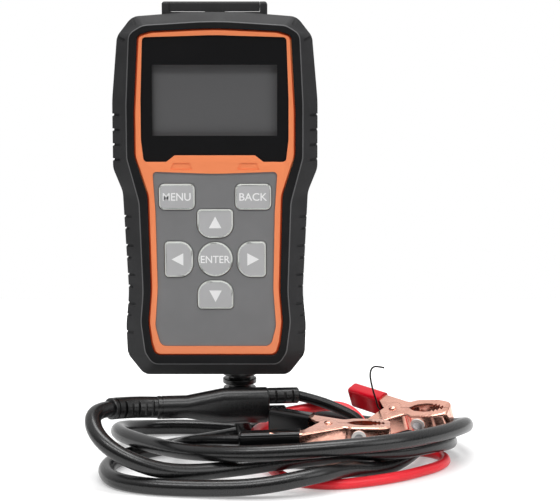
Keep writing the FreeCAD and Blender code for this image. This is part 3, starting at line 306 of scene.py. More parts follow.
@dataclass(frozen=True)
class Finish:
    """Something that a piece's surface is made of."""

    name: str
    colour: Colour

    @property
    def title(self) -> str:
        """The material's own name, which no packed material has."""
        return self.name + "_finish"

    def new_material(self) -> tuple[bpy.types.Material, NodeBench, bpy.types.Node]:
        """Starts a material with a bare Principled shader.

        Returns:
            The material, the bench for its nodes and the shader.
        """
        material = bpy.data.materials.new(self.title)
        material.use_nodes = True
        tree = material.node_tree
        tree.nodes.clear()
        bench = NodeBench(tree)
        shader = bench.add("ShaderNodeBsdfPrincipled")
        output = bench.add("ShaderNodeOutputMaterial")
        bench.link(shader.outputs[0], output.inputs[0])
        shader.inputs["Base Color"].default_value = (*self.colour, 1.0)
        material.diffuse_color = (*self.colour, 1.0)
        return material, bench, shader

    def build(self) -> bpy.types.Material:
        """Makes the material."""
        return self.new_material()[0]

    def material(self) -> bpy.types.Material:
        """Returns the material, made on first use."""
        found = bpy.data.materials.get(self.title)
        return found if found is not None else self.build()


@dataclass(frozen=True)
class MouldedFinish(Finish):
    """Rubber or plastic from a mould, with grain, blotches and faint handling marks."""

    roughness: float = 0.5
    spread: float = 0.08
    grain: float = 2500.0
    relief: float = 0.06
    blotch: float = 60.0
    shade: float = 0.18
    coat: float = 0.0
    coat_roughness: float = 0.1
    specular: float = 0.5
    marks: float = 0.0
    bump_depth: ClassVar[float] = 0.00006

    def build(self) -> bpy.types.Material:
        """Makes the material from the moulded-grain group."""
        material, bench, shader = self.new_material()
        group = bench.add("ShaderNodeGroup")
        group.node_tree = GroupShelf.get("moulded_grain", make_moulded_grain)
        group.inputs["Grain"].default_value = self.grain
        group.inputs["Blotch"].default_value = self.blotch
        dark = tuple(c * (1.0 - self.shade) for c in self.colour)
        light = tuple(min(1.0, c * (1.0 + self.shade)) for c in self.colour)
        tint = bench.ramp(group.outputs["Blotches"], tuple(zip(NOISE_BAND, (dark, light))))
        if self.marks > 0.0:
            rubbed = bench.add("ShaderNodeMix", data_type="RGBA")
            bench.link(bench.math("MULTIPLY", group.outputs["Marks"], self.marks), rubbed.inputs["Factor"])
            bench.link(tint, rubbed.inputs["A"])
            pale = tuple(min(1.0, c * 1.6 + 0.02) for c in self.colour)
            rubbed.inputs["B"].default_value = (*pale, 1.0)
            tint = rubbed.outputs["Result"]
        bench.link(tint, shader.inputs["Base Color"])
        smoothest, roughest = max(0.02, self.roughness - self.spread), min(1.0, self.roughness + self.spread)
        rough = bench.remap(group.outputs["Height"], (*NOISE_BAND, smoothest, roughest))
        bench.link(rough, shader.inputs["Roughness"])
        bench.link(bench.bump(group.outputs["Height"], self.relief, self.bump_depth), shader.inputs["Normal"])
        shader.inputs["Specular IOR Level"].default_value = self.specular
        shader.inputs["Coat Weight"].default_value = self.coat
        shader.inputs["Coat Roughness"].default_value = self.coat_roughness
        return material


@dataclass(frozen=True)
class PlatedFinish(Finish):
    """Stamped metal with a plated skin."""

    roughness: float = 0.25
    stain: Colour = (0.2, 0.08, 0.05)
    stain_amount: float = 0.35
    relief: float = 0.12
    polish: ClassVar[float] = 0.07
    wear: ClassVar[float] = 0.1
    bump_depth: ClassVar[float] = 0.00015

    def build(self) -> bpy.types.Material:
        """Makes the material from the brushed-relief group."""
        material, bench, shader = self.new_material()
        group = bench.add("ShaderNodeGroup")
        group.node_tree = GroupShelf.get("brushed_relief", make_brushed_relief)
        shader.inputs["Metallic"].default_value = 1.0
        share = self.stain_amount
        mixed = tuple(a * (1 - share) + b * share for a, b in zip(self.colour, self.stain))
        light = tuple(min(1.0, c * 1.08) for c in self.colour)
        tint = bench.ramp(group.outputs["Stains"], ((0.28, mixed), (0.5, self.colour), (0.75, light)))
        bench.link(tint, shader.inputs["Base Color"])
        smoothest, roughest = max(0.04, self.roughness - self.polish), self.roughness + self.wear
        rough = bench.remap(group.outputs["Streaks"], (*NOISE_BAND, smoothest, roughest))
        bench.link(rough, shader.inputs["Roughness"])
        bench.link(bench.bump(group.outputs["Height"], self.relief, self.bump_depth), shader.inputs["Normal"])
        return material


@dataclass(frozen=True)
class DisplayFinish(Finish):
    """A switched-off display behind its glass: a grey field with painted shade along its edges."""

    low: Point = (0.0, 0.0, 0.0)
    high: Point = (1.0, 1.0, 1.0)
    # widths of the painted shade along each edge
    left_painted_shade: float = 0.0034
    right_painted_shade: float = 0.0012
    top_painted_shade: float = 0.0020
    bottom_painted_shade: float = 0.0009
    roughness: float = 0.4
    specular: float = 0.25
    mottle_scale: float = 900.0
    mottle: float = 0.04
    painted_shade_share: float = 0.12

    def build(self) -> bpy.types.Material:
        """Makes the material: an even field that darkens at its edges with painted shade, the shade of its
        frame.
        """
        material, bench, shader = self.new_material()
        place = bench.add("ShaderNodeTexCoord")
        split = bench.add("ShaderNodeSeparateXYZ")
        bench.link(place.outputs["Object"], split.inputs[0])
        edges = (
            ("X", self.low[0], self.low[0] + self.left_painted_shade),
            ("X", self.high[0], self.high[0] - self.right_painted_shade),
            ("Z", self.high[2], self.high[2] - self.top_painted_shade),
            ("Z", self.low[2], self.low[2] + self.bottom_painted_shade),
        )
        light = None
        for axis, edge, inside in edges:
            fade = bench.remap(split.outputs[axis], (edge, inside, 0.0, 1.0), "SMOOTHSTEP")
            light = fade if light is None else bench.math("MULTIPLY", light, fade)
        noise = bench.noise(place.outputs["Object"], self.mottle_scale)
        tone = bench.math("SUBTRACT", light, bench.math("MULTIPLY", noise, self.mottle))
        # the edges fade to this dark copy of the colour: painted shade
        dark = tuple(c * self.painted_shade_share for c in self.colour)
        bench.link(bench.ramp(tone, ((0.0, dark), (0.95, self.colour))), shader.inputs["Base Color"])
        shader.inputs["Roughness"].default_value = self.roughness
        shader.inputs["Specular IOR Level"].default_value = self.specular
        return material


BOOT_RUBBER = MouldedFinish(
    "boot_rubber", linear(52, 52, 53), roughness=0.46, relief=0.10, grain=3200.0, shade=0.10,
    specular=0.16, marks=0.05,
)
# a darker copy of the boot rubber for the front lip: painted shade
BOOT_LIP_PAINTED_SHADE = MouldedFinish(
    "boot_lip", linear(28, 28, 29), roughness=0.52, relief=0.08, grain=3200.0, specular=0.12,
)
# a paler copy of the boot rubber for the rounded ridge: a painted highlight
BOOT_RIDGE_HIGHLIGHT = MouldedFinish(
    "boot_ridge", linear(92, 92, 93), roughness=0.45, relief=0.05, grain=3200.0, shade=0.06,
)
ORANGE_SHELL = MouldedFinish(
    "orange_shell", linear(255, 146, 95), roughness=0.38, relief=0.04, grain=3000.0, shade=0.02,
)
# a deeper copy of the orange for the bezel's outer rim: painted shade
ORANGE_RIM_SHADE = MouldedFinish(
    "orange_rim", linear(236, 92, 50), roughness=0.36, relief=0.04, grain=3000.0, shade=0.04,
)
# a pale copy of the orange for the window's rounded edge: a painted highlight
ORANGE_EDGE_HIGHLIGHT = MouldedFinish(
    "orange_edge", linear(255, 206, 184), roughness=0.30, relief=0.02, grain=3000.0, shade=0.02,
)
REAR_SHELL = MouldedFinish("rear_shell", linear(40, 40, 42), roughness=0.55, relief=0.12)
GASKET = MouldedFinish("gasket_rubber", linear(28, 28, 28), roughness=0.7)
WINDOW_PRINT = MouldedFinish(
    "window_print", linear(26, 26, 27), roughness=0.20, spread=0.03, relief=0.01, shade=0.04,
    specular=0.2, coat=0.15, coat_roughness=0.04,
)
FRAME_PLASTIC = MouldedFinish("frame_plastic", linear(205, 205, 200), roughness=0.5)
LIGHT_GUIDE = MouldedFinish("light_guide", linear(232, 238, 238), roughness=0.12, shade=0.02, coat=0.4)
KEYPAD_FILM = MouldedFinish(
    "keypad_film", linear(121, 121, 122), roughness=0.5, grain=4200.0, relief=0.18, shade=0.05,
)
KEY_RUBBER = MouldedFinish(
    "key_rubber", linear(182, 182, 183), roughness=0.48, grain=4200.0, relief=0.08, shade=0.03,
)
# a paler copy of the key rubber for the edge of each crown: a painted highlight
KEY_RIM_HIGHLIGHT = MouldedFinish(
    "key_rim", linear(214, 217, 212), roughness=0.45, grain=4200.0, relief=0.04, shade=0.02,
)
MAT_RUBBER = MouldedFinish("mat_rubber", linear(165, 165, 168), roughness=0.6)
BOARD = MouldedFinish("solder_mask", linear(18, 84, 48), roughness=0.3, shade=0.25, blotch=300.0, coat=0.3)
CHIP_BLACK = MouldedFinish("chip_black", linear(24, 24, 24), roughness=0.55, relief=0.15)
CERAMIC = MouldedFinish("resistor_ceramic", linear(222, 222, 212), roughness=0.75, relief=0.2)
WIRE_PVC = MouldedFinish("wire_pvc", linear(190, 30, 40), roughness=0.4)
LABEL_FILM = MouldedFinish("label_film", linear(208, 208, 208), roughness=0.42, relief=0.03, shade=0.03)
CABLE_RUBBER = MouldedFinish(
    "cable_rubber", linear(15, 15, 16), roughness=0.27, spread=0.05, relief=0.05, grain=2600.0,
    shade=0.10, specular=0.56, marks=0.04,
)
MOULDED_RUBBER = MouldedFinish(
    "moulded_rubber", linear(13, 13, 14), roughness=0.30, spread=0.06, relief=0.07, grain=3000.0,
    shade=0.10, specular=0.52, marks=0.04,
)
RED_PVC = MouldedFinish("red_pvc", linear(250, 40, 54), roughness=0.33, relief=0.04, shade=0.06)
BLACK_PVC = MouldedFinish(
    "black_pvc", linear(13, 13, 14), specular=0.25, roughness=0.28, relief=0.05, shade=0.10,
)
GRIP_BLACK = MouldedFinish(
    "grip_black", linear(12, 12, 13), roughness=0.20, spread=0.04, relief=0.03, shade=0.08,
    specular=0.4, coat=0.2,
)
GRIP_RED = MouldedFinish(
    "grip_red", linear(206, 8, 34), roughness=0.20, spread=0.04, relief=0.03, shade=0.08, specular=0.3,
    coat=0.15,
)
NYLON = MouldedFinish("washer_nylon", linear(248, 246, 242), roughness=0.42, shade=0.04)
LEGEND = MouldedFinish("legend_ink", linear(244, 244, 244), roughness=0.5, shade=0.01)
COPPER = PlatedFinish(
    "copper_plate", linear(244, 186, 166), roughness=0.20, stain=linear(150, 80, 68), stain_amount=0.36,
    relief=0.05,
)
TIN = PlatedFinish("tin_plate", linear(205, 205, 205), roughness=0.25, stain=linear(120, 120, 120))
ZINC = PlatedFinish("zinc_screw", linear(185, 186, 188), roughness=0.3, stain=linear(110, 110, 112))
SPRING_STEEL = PlatedFinish("spring_steel", linear(150, 150, 152), roughness=0.3, stain=linear(70, 68, 66))
BRASS = PlatedFinish("brass_insert", linear(210, 172, 92), roughness=0.3, stain=linear(120, 84, 40))


# ---------------------------------------------------------------- workshop


class Workshop:
    """Joins meshes to the scene and to their bodies."""

    weld_distance = 2e-6
    flat_angle = 0.6  # degrees between faces that are merged into one

    @staticmethod
    def from_bmesh(name: str, shape: bmesh.types.BMesh, finish: Finish, body: str) -> bpy.types.Object:
        """Turns a bmesh into a shown piece.

        Args:
            name: the piece's name.
            shape: the mesh, freed afterwards.
            finish: its material.
            body: the body it rides on.

        Returns:
            The piece.
        """
        for face in shape.faces:
            face.smooth = True
        limit = math.radians(SHARP_ANGLE)
        for edge in shape.edges:
            edge.smooth = len(edge.link_faces) != 2 or edge.calc_face_angle(0.0) < limit
        mesh = bpy.data.meshes.new(name)
        shape.to_mesh(mesh)
        shape.free()
        piece = bpy.data.objects.new(name, mesh)
        bpy.context.scene.collection.objects.link(piece)
        mesh.materials.append(finish.material())
        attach(piece, body)
        LOG.info("made %s (%d faces)", name, len(mesh.polygons))
        return piece

    @staticmethod
    def clean_mesh(node: bpy.types.Object) -> bmesh.types.BMesh:
        """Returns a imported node's mesh, joined up and with its flats merged."""
        shape = bmesh.new()
        shape.from_mesh(node.data)
        bmesh.ops.remove_doubles(shape, verts=shape.verts, dist=Workshop.weld_distance)
        flat = math.radians(Workshop.flat_angle)
        bmesh.ops.dissolve_limit(shape, angle_limit=flat, verts=shape.verts, edges=shape.edges)
        return shape

    @staticmethod
    def front_faces(shape: bmesh.types.BMesh) -> tuple[list[bmesh.types.BMFace], float]:
        """Finds the flat faces that lie foremost.

        Args:
            shape: the mesh.

        Returns:
            The faces and the depth of the foremost point.
        """
        front = min(v.co.y for v in shape.verts)
        limit = front + FRONT_DEPTH
        faces = [f for f in shape.faces if f.normal.y < FRONT_FACING and f.calc_center_median().y < limit]
        return faces, front

    @staticmethod
    def bevel(shape: bmesh.types.BMesh, edges: list[bmesh.types.BMEdge], width: float, slot: int) -> None:
        """Rounds edges and gives the new faces a material slot.

        Args:
            shape: the mesh.
            edges: the edges to round.
            width: how far it reaches.
            slot: the slot's number.
        """
        made = bmesh.ops.bevel(
            shape, geom=edges, offset=width, affect="EDGES", segments=2, profile=0.5, material=-1,
            clamp_overlap=True,
        )
        for face in made["faces"]:
            face.material_index = slot

    @staticmethod
    def copy_node(node: bpy.types.Object, finish: Finish) -> bpy.types.Object:
        """Makes a smooth-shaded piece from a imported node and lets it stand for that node.

        Args:
            node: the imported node.
            finish: the piece's material.

        Returns:
            The piece.
        """
        shape = Workshop.clean_mesh(node)
        piece = Workshop.from_bmesh(node.name + "_skin", shape, finish, node["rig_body"])
        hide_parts(node.name)
        return piece

    @staticmethod
    def dress(node: bpy.types.Object, finish: Finish) -> None:
        """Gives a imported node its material."""
        node.data.materials.clear()
        node.data.materials.append(finish.material())
        LOG.info("dressed %s", node.name)


# ---------------------------------------------------------------- studio


@dataclass
class Studio:
    """Camera, floor, world and lamps."""

    eye: Point = (0.035, -0.869, 0.235)
    tilt: float = 82.0
    lens: float = 102.09
    sensor: float = 36.0
    floor_size: float = 1.0
    floor_tone: float = 0.74
    floor_glow: Limits = (0.12, 0.30, 0.30, 0.60)
    bright_side: Point = (0.0, 0.55, 0.835)
    surround: Limits = (-0.30, 0.6, 0.07, 0.85)
    aim: Point = (0.02, -0.02, 0.12)

    def build(self) -> None:
        """Sets up everything round the object."""
        self._camera()
        self._floor()
        self._world()
        self._lamp("key_strip", (-0.15, -0.90, 1.40), (1.40, 0.24), 10.6)
        self._lamp("fill_softbox", (1.05, -0.95, 0.75), (0.8, 0.8), 4.4)
        self._lamp("top_softbox", (0.05, 0.05, 1.55), (1.0, 0.5), 11.0)

    def _camera(self) -> None:
        """Makes the camera."""
        data = bpy.data.cameras.new("camera")
        data.lens = self.lens
        data.sensor_width = self.sensor
        camera = bpy.data.objects.new("camera", data)
        camera.location = self.eye
        camera.rotation_euler = Euler((math.radians(self.tilt), 0.0, 0.0))
        bpy.context.scene.collection.objects.link(camera)
        bpy.context.scene.camera = camera

    def _floor(self) -> None:
        """Makes the pale floor, which shows white but keeps the shadow."""
        shape = bmesh.new()
        bmesh.ops.create_grid(shape, x_segments=1, y_segments=1, size=self.floor_size / 2)
        mesh = bpy.data.meshes.new("floor")
        shape.to_mesh(mesh)
        shape.free()
        floor = bpy.data.objects.new("floor", mesh)
        bpy.context.scene.collection.objects.link(floor)
        material = bpy.data.materials.new("floor_paper")
        material.use_nodes = True
        material.node_tree.nodes.clear()
        bench = NodeBench(material.node_tree)
        paper = bench.add("ShaderNodeBsdfDiffuse")
        paper.inputs["Color"].default_value = (*[self.floor_tone] * 3, 1.0)
        glow = bench.add("ShaderNodeEmission")
        ray = bench.add("ShaderNodeLightPath")
        seen = bench.math("MAXIMUM", ray.outputs["Is Camera Ray"], ray.outputs["Is Glossy Ray"])
        seen = bench.math("MAXIMUM", seen, ray.outputs["Is Transmission Ray"])
        place = bench.add("ShaderNodeTexCoord")
        reach = bench.add("ShaderNodeVectorMath", operation="LENGTH")
        bench.link(place.outputs["Object"], reach.inputs[0])
        level = bench.remap(reach.outputs["Value"], self.floor_glow, "SMOOTHSTEP")
        bench.link(bench.math("MULTIPLY", seen, level), glow.inputs["Strength"])
        both = bench.add("ShaderNodeAddShader")
        bench.link(paper.outputs[0], both.inputs[0])
        bench.link(glow.outputs[0], both.inputs[1])
        output = bench.add("ShaderNodeOutputMaterial")
        bench.link(both.outputs[0], output.inputs[0])
        mesh.materials.append(material)

    def _world(self) -> None:
        """Makes the surround: bright above and behind, dim on the viewer's side, white where it is seen."""
        world = bpy.data.worlds.new("studio")
        bpy.context.scene.world = world
        world.use_nodes = True
        world.node_tree.nodes.clear()
        bench = NodeBench(world.node_tree)
        light = bench.add("ShaderNodeBackground")
        light.inputs["Color"].default_value = (1.0, 1.0, 1.0, 1.0)
        place = bench.add("ShaderNodeTexCoord")
        facing = bench.add("ShaderNodeVectorMath", operation="DOT_PRODUCT")
        facing.inputs[1].default_value = self.bright_side
        bench.link(place.outputs["Generated"], facing.inputs[0])
        level = bench.remap(facing.outputs["Value"], self.surround, "SMOOTHSTEP")
        ray = bench.add("ShaderNodeLightPath")
        seen = bench.math("MAXIMUM", ray.outputs["Is Camera Ray"], ray.outputs["Is Transmission Ray"])
        bench.link(bench.math("MAXIMUM", seen, level), light.inputs["Strength"])
        output = bench.add("ShaderNodeOutputWorld")
        bench.link(light.outputs[0], output.inputs[0])

    def _lamp(self, name: str, place: Point, size: tuple[float, float], power: float) -> None:
        """Adds one softbox that faces the object.

        Args:
            name: the lamp's name.
            place: where it stands.
            size: its width and height.
            power: its watts.
        """
        data = bpy.data.lights.new(name, "AREA")
        data.shape = "RECTANGLE"
        data.size, data.size_y = size
        data.energy = power
        lamp = bpy.data.objects.new(name, data)
        lamp.location = place
        lamp.rotation_euler = (Vector(self.aim) - Vector(place)).to_track_quat("-Z", "Y").to_euler()
        bpy.context.scene.collection.objects.link(lamp)


# ---------------------------------------------------------------- cable and leads


class Lead(Enum):
    """The three free cords."""

    MAIN = "main_cable"
    BLACK = "black_lead"
    RED = "red_lead"


@dataclass
class CableSet:
    """The long cable, the splitter, both leads and the wire tie."""

    frame: dict
    cable_diameter: float = 0.0086
    lead_diameter: float = 0.0056
    tie_diameter: float = 0.0010
    tie_length: float = 0.038
    lengths: dict[Lead, float] = field(default_factory=lambda: {
        Lead.MAIN: 1.373, Lead.BLACK: 0.229, Lead.RED: 0.324,
    })
    routes: dict[Lead, Sequence[Point]] = field(default_factory=lambda: {
        Lead.MAIN: (
            (.0125, 0, .029), (.0125, 0, .014), (.0215, .0015, .0043), (.038, .005, .0043),
            (.058, .0105, .0043), (.077, .0125, .0043), (.094, .012, .005), (.109, .0035, .0098),
            (.115, -.013, .0104), (.11, -.03, .0096),
            (.098, -.044, .0052), (.086, -.056, .0045), (.07, -.071, .0099), (.054, -.087, .0108),
            (.024, -.093, .006), (-.008, -.089, .0043), (-.036, -.084, .0043), (-.053, -.072, .0043),
            (-.0585, -.048, .0043), (-.049, -.024, .0043), (-.026, -.006, .0043), (-.002, .01, .0043),
            (.018, .014, .007), (.034, .018, .014), (.05, .027, .014), (.072, .036, .0085), (.1, .038, .0046),
            (.126, .027, .007), (.139, .004, .014), (.137, -.022, .0205), (.121, -.048, .0225),
            (.097, -.0685, .0233), (.066, -.077, .0224), (.04, -.0776, .0202), (.012, -.0742, .0182),
            (-.016, -.0605, .0156), (-.039, -.034, .0138), (-.0545, -.012, .0131), (-.057, .014, .0096),
            (-.045, .034, .0048), (-.021, .038, .0043), (.004, .033, .0043), (.027, .026, .0043),
            (.05, .023, .0043),
            (.076, .025, .0043), (.104, .0235, .0043), (.121, .012, .0055), (.13, -.006, .0075),
            (.127, -.025, .0117), (.117, -.041, .0144), (.099, -.053, .0139), (.072, -.0545, .013),
            (.041, -.0585, .0106), (.012, -.067, .0086), (-.01, -.076, .0088), (-.027, -.0815, .0116),
            (-.042, -.082, .0172), (-.053, -.0778, .0228), (-.0605, -.07, .0286), (-.0632, -.0605, .034),
            (-.0601, -.0517, .036), (-.0547, -.0464, .0354),
        ),
        Lead.BLACK: (
            (.0442, -.0162, .0357), (.056, -.019, .0334), (.0675, -.023, .0296), (.079, -.027, .0246),
            (.083, -.033, .0135), (.074, -.0365, .0045), (.06, -.038, .0028), (.038, -.036, .0028),
            (.014, -.024, .0028), (-.006, -.014, .0032), (-.019, -.019, .006), (-.0245, -.031, .0105),
            (-.0205, -.043, .0152), (-.0115, -.054, .0203), (.0017, -.0611, .0226), (.0146, -.0626, .0227),
        ),
        Lead.RED: (
            (.0375, -.0177, .0264), (.049, -.015, .028), (.061, -.0132, .0294), (.0725, -.0158, .0286),
            (.0805, -.0221, .0215), (.0845, -.0253, .01), (.096, -.0175, .0028), (.111, -.01, .0028),
            (.122, -.0165, .0028), (.1262, -.0285, .0028), (.121, -.041, .0028), (.11, -.052, .0028),
            (.097, -.0625, .0028), (.08, -.0715, .0028), (.064, -.077, .0028), (.05, -.075, .0028),
            (.0385, -.066, .0028), (.033, -.054, .0028), (.028, -.043, .0044), (.024, -.032, .0088),
            (.021, -.02, .0122), (.0215, -.008, .0144), (.028, .0015, .014), (.038, .0052, .0122),
            (.047, .0022, .0116), (.0529, -.0008, .0121),
        ),
    })
    # worked out by a separate script, not placed by hand like the routes above
    tie_route: Sequence[Point] = (
        (.0943, -.0066, .0219), (.0924, -.0069, .0234), (.0906, -.0072, .0255), (.0891, -.0082, .0275),
        (.0886, -.0088, .0303), (.0867, -.009, .036), (.0855, -.0091, .0408), (.0847, -.0092, .0455),
        (.0853, -.0092, .0488), (.087, -.0091, .0504), (.0898, -.0089, .0501), (.0926, -.0087, .0495),
    )

    def build(self) -> None:
        nodes = self.frame["nodes"]
        splitter = Workshop.copy_node(nodes["splitter"], MOULDED_RUBBER)
        relief = Workshop.copy_node(nodes["strain_relief"], MOULDED_RUBBER)
        finishes = {Lead.MAIN: CABLE_RUBBER, Lead.BLACK: BLACK_PVC, Lead.RED: RED_PVC}
        for lead, points in self.routes.items():
            main = lead is Lead.MAIN
            width = self.cable_diameter if main else self.lead_diameter
            piece = self._curve(lead.value + "_sheath", points, width, finishes[lead])
            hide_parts(lead.value)
        tie = self._curve("wire_tie_wire", self.tie_route, self.tie_diameter, BLACK_PVC)
        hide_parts("wire_tie")

    def _curve(self, name: str, points: Sequence[Point], width: float, finish: Finish) -> bpy.types.Object:
        """Makes one round cord along a smooth spline.

        Args:
            name: the piece's name.
            points: its control points.
            width: its diameter.
            finish: its material.

        Returns:
            The piece.
        """
        data = bpy.data.curves.new(name, "CURVE")
        data.dimensions = "3D"
        data.bevel_depth = width / 2
        data.bevel_resolution = 8
        data.use_fill_caps = True
        data.resolution_u = 10
        spline = data.splines.new("NURBS")
        spline.points.add(len(points) - 1)
        for place, point in zip(spline.points, points):
            place.co = (*point, 1.0)
        spline.order_u = 3
        spline.use_endpoint_u = True
        data.materials.append(finish.material())
        piece = bpy.data.objects.new(name, data)
        bpy.context.scene.collection.objects.link(piece)
        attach(piece, "tester")
        LOG.info("made %s", name)
        return piece


# ---------------------------------------------------------------- tester


@dataclass
class TesterBody:
    """Boot, housings, window, keypad, keys and what is inside."""

    frame: dict
    legend_sizes: dict[str, tuple[float, float]] = field(default_factory=lambda: {
        "MENU": (0.0150, 0.0042), "BACK": (0.0150, 0.0042), "ENTER": (0.0158, 0.0040),
    })
    legend_depth: float = 0.03  # millimetres, to either side
    legend_weight: float = 0.010  # for letters of size 1
    arrow_base: float = 0.0068
    arrow_height: float = 0.0064
    arrow_shift: float = 0.0008
    arrow_depth: float = 0.00006
    # width of the painted highlight band round a key's crown
    rim_width: float = 0.00045
    ridge_round: float = 0.00055
    bezel_round: float = 0.0006
    band_facing: float = -0.3  # normals of the boot's sloped band have a lower Y
    rim_facing: float = -0.2  # normals of the bezel's outer rim have a lower Y
    window_reach: float = 0.002  # the painted highlight round the window runs this far below the window
    # how far behind a key's front its edge takes the painted highlight
    rim_depth: float = 0.0006

    def build(self) -> None:
        """Dresses the body's nodes and adds the key legends."""
        nodes = self.frame["nodes"]
        smooth = {
            "port_cover": BOOT_RUBBER, "display_window": WINDOW_PRINT, "keypad_plate": KEYPAD_FILM,
            "rear_housing": REAR_SHELL,
        }
        for name, finish in smooth.items():
            Workshop.copy_node(nodes[name], finish)
        self._boot(nodes["rubber_boot"])
        self._bezel(nodes["front_housing"])
        for key in ("menu", "back", "up", "down", "left", "right", "enter"):
            self._key(nodes["key_" + key])
        low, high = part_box("lcd_glass")
        lcd = DisplayFinish("lcd_field", linear(93, 93, 94), low=tuple(low), high=tuple(high))
        plain = {
            "lcd_glass": lcd, "lcd_frame": FRAME_PLASTIC, "backlight_guide": LIGHT_GUIDE,
            "housing_gasket": GASKET, "key_mat": MAT_RUBBER, "main_pcb": BOARD,
            "pcb_components": CHIP_BLACK, "load_resistor": CERAMIC, "usb_socket": TIN,
            "buzzer": CHIP_BLACK, "housing_screws": ZINC, "threaded_inserts": BRASS,
            "pcb_screws": ZINC, "harness_connector": FRAME_PLASTIC, "inner_wires": WIRE_PVC,
            "back_label": LABEL_FILM, "cover_pin": ZINC,
        }
        for name, finish in plain.items():
            Workshop.dress(nodes[name], finish)
        for key, word in (("menu", "MENU"), ("back", "BACK"), ("enter", "ENTER")):
            self._word("key_" + key, word)
        for key, turn in (("up", 0.0), ("left", 90.0), ("down", 180.0), ("right", -90.0)):
            self._arrow("key_" + key, turn)

    def _boot(self, node: bpy.types.Object) -> None:
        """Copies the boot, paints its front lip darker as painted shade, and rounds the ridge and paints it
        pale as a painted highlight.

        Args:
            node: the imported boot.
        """
        shape = Workshop.clean_mesh(node)
        lip, _ = Workshop.front_faces(shape)
        # the front lip takes slot 1, the darker rubber: painted shade
        for face in lip:
            face.material_index = 1
        ridge = []
        for edge in shape.edges:
            others = [f for f in edge.link_faces if f.material_index == 0]
            if len(edge.link_faces) != 2 or len(others) != 1:
                continue
            if FRONT_FACING < others[0].normal.y < self.band_facing:
                ridge.append(edge)
        # the rounded ridge takes slot 2, the pale rubber: a painted highlight
        Workshop.bevel(shape, ridge, self.ridge_round, 2)
        piece = Workshop.from_bmesh(node.name + "_skin", shape, BOOT_RUBBER, node["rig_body"])
        piece.data.materials.append(BOOT_LIP_PAINTED_SHADE.material())
        piece.data.materials.append(BOOT_RIDGE_HIGHLIGHT.material())
        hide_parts(node.name)

    def _bezel(self, node: bpy.types.Object) -> None:
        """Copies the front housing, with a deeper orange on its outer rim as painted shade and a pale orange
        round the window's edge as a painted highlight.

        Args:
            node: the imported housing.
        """
        shape = Workshop.clean_mesh(node)
        face_plane = set(Workshop.front_faces(shape)[0])
        window_low, window_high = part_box("display_window")
        middle = (window_low + window_high) / 2
        inner = []
        for edge in shape.edges:
            if len(edge.link_faces) != 2 or sum(f in face_plane for f in edge.link_faces) != 1:
                continue
            wall = next(f for f in edge.link_faces if f not in face_plane)
            spot = wall.calc_center_median()
            outward = wall.normal.x * (spot.x - middle.x) + wall.normal.z * (spot.z - middle.z)
            if outward > 0.0 and wall.normal.y < self.rim_facing:
                # outer rim walls take slot 1, the deeper orange: painted shade
                wall.material_index = 1
            elif outward < 0.0 and spot.z > window_low.z - self.window_reach:
                inner.append(edge)
        # the window's rounded edge takes slot 2, the pale orange: a painted highlight
        Workshop.bevel(shape, inner, self.bezel_round, 2)
        piece = Workshop.from_bmesh(node.name + "_skin", shape, ORANGE_SHELL, node["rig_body"])
        piece.data.materials.append(ORANGE_RIM_SHADE.material())
        piece.data.materials.append(ORANGE_EDGE_HIGHLIGHT.material())
        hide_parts(node.name)

    def _key(self, node: bpy.types.Object) -> None:
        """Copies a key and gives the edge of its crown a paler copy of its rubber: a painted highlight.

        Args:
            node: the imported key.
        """
        shape = Workshop.clean_mesh(node)
        crown, front = Workshop.front_faces(shape)
        made = bmesh.ops.inset_region(shape, faces=crown, thickness=self.rim_width, use_even_offset=True)
        rim = set(made["faces"])
        for face in shape.faces:
            edge = face.calc_center_median().y < front + self.rim_depth and face not in crown
            # the band round the crown and the edge just behind it take slot 1, the paler rubber: a painted
            # highlight
            face.material_index = 1 if face in rim or edge else 0
        piece = Workshop.from_bmesh(node.name + "_skin", shape, KEY_RUBBER, node["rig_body"])
        piece.data.materials.append(KEY_RIM_HIGHLIGHT.material())
        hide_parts(node.name)

    def _face(self, node: str) -> tuple[Vector, float]:
        """Returns a key's middle and the depth of its front."""
        low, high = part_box(node)
        return (low + high) / 2, low.y

    def _word(self, node: str, word: str) -> None:
        """Prints a legend on a key.

        Args:
            node: the key.
            word: the legend.
        """
        middle, front = self._face(node)
        data = bpy.data.curves.new(node + "_text", "FONT")
        data.body = word
        data.size = 1.0
        data.align_x = "CENTER"
        data.align_y = "CENTER"
        data.extrude = self.legend_depth
        data.offset = self.legend_weight
        data.resolution_u = 4
        text = bpy.data.objects.new(node + "_text", data)
        bpy.context.scene.collection.objects.link(text)
        bpy.context.view_layer.update()
        mesh = bpy.data.meshes.new_from_object(text)
        bpy.data.objects.remove(text)
        wide = [v.co.x for v in mesh.vertices]
        tall = [v.co.y for v in mesh.vertices]
        width, height = self.legend_sizes[word]
        scale = Matrix.Diagonal((width / (max(wide) - min(wide)), height / (max(tall) - min(tall)), MM, 1.0))
        centre = Matrix.Translation((-(max(wide) + min(wide)) / 2, -(max(tall) + min(tall)) / 2, 0.0))
        place = Matrix.Translation((middle.x, front - self.legend_depth * MM, middle.z))
        upright = Matrix.Rotation(math.radians(90), 4, "X")
        mesh.transform(place @ upright @ scale @ centre)
        piece = bpy.data.objects.new(node + "_legend", mesh)
        bpy.context.scene.collection.objects.link(piece)
        mesh.materials.clear()
        mesh.materials.append(LEGEND.material())
        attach(piece, node)

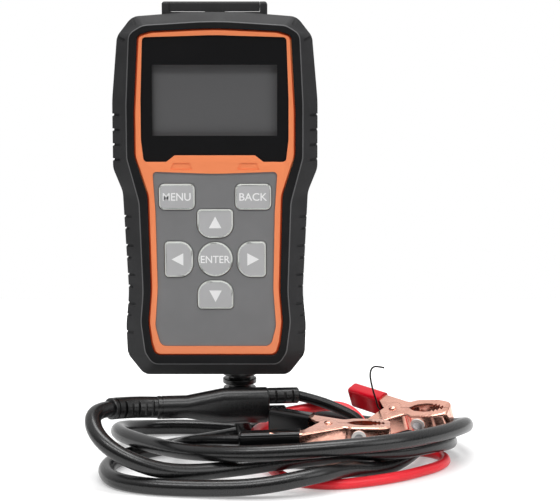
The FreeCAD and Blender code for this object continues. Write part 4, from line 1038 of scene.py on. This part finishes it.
    def _arrow(self, node: str, turn: float) -> None:
        """Prints an arrow on a key.

        Args:
            node: the key.
            turn: its turn in degrees from pointing up.
        """
        middle, front = self._face(node)
        shape = bmesh.new()
        bmesh.ops.create_circle(shape, cap_ends=True, segments=3, radius=1.0)
        wide = [v.co.x for v in shape.verts]
        tall = [v.co.y for v in shape.verts]
        fit = (self.arrow_base / (max(wide) - min(wide)), self.arrow_height / (max(tall) - min(tall)), 1.0)
        bmesh.ops.translate(shape, vec=(0.0, -(max(tall) + min(tall)) / 2, 0.0), verts=shape.verts)
        bmesh.ops.scale(shape, vec=fit, verts=shape.verts)
        bmesh.ops.translate(shape, vec=(0.0, self.arrow_shift, 0.0), verts=shape.verts)
        made = bmesh.ops.extrude_face_region(shape, geom=shape.faces[:])
        moved = [v for v in made["geom"] if isinstance(v, bmesh.types.BMVert)]
        bmesh.ops.translate(shape, vec=(0.0, 0.0, self.arrow_depth), verts=moved)
        place = (
            Matrix.Translation((middle.x, front, middle.z))
            @ Matrix.Rotation(math.radians(90), 4, "X")
            @ Matrix.Rotation(math.radians(turn), 4, "Z")
        )
        bmesh.ops.transform(shape, matrix=place, verts=shape.verts)
        bmesh.ops.recalc_face_normals(shape, faces=shape.faces)
        Workshop.from_bmesh(node + "_arrow", shape, LEGEND, node)


# ---------------------------------------------------------------- clamps


@dataclass
class ClampPair:
    """The two Kelvin clamps."""

    frame: dict

    def build(self) -> None:
        """Dresses both clamps."""
        for colour, grip in (("black", GRIP_BLACK), ("red", GRIP_RED)):
            self._clamp(colour, grip)

    def _clamp(self, colour: str, grip: Finish) -> None:
        """Dresses one clamp.

        Args:
            colour: the clamp's name part.
            grip: the finish of its grips.
        """
        nodes = self.frame["nodes"]
        smooth = {
            "fixed_jaw": COPPER, "moving_jaw": COPPER, "pivot_rivet": COPPER, "contact": COPPER,
            "insulator": NYLON, "contact_rivet": ZINC, "fixed_grip": grip, "moving_grip": grip,
            "spring": SPRING_STEEL, "spring_leg": SPRING_STEEL,
        }
        for name, finish in smooth.items():
            Workshop.copy_node(nodes[f"{colour}_{name}"], finish)
        Workshop.dress(nodes[colour + "_wire_crimp"], TIN)


def write_size() -> None:
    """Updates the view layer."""
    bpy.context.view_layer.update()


def main() -> None:
    """Loads the frame and builds each sub-assembly in order."""
    logging.basicConfig(level=logging.INFO, format="%(name)s: %(message)s")
    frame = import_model()
    Studio().build()
    bpy.context.scene.view_settings.view_transform = "Standard"
    CableSet(frame).build()
    TesterBody(frame).build()
    ClampPair(frame).build()
    write_size()


if __name__ == "__main__":
    main()
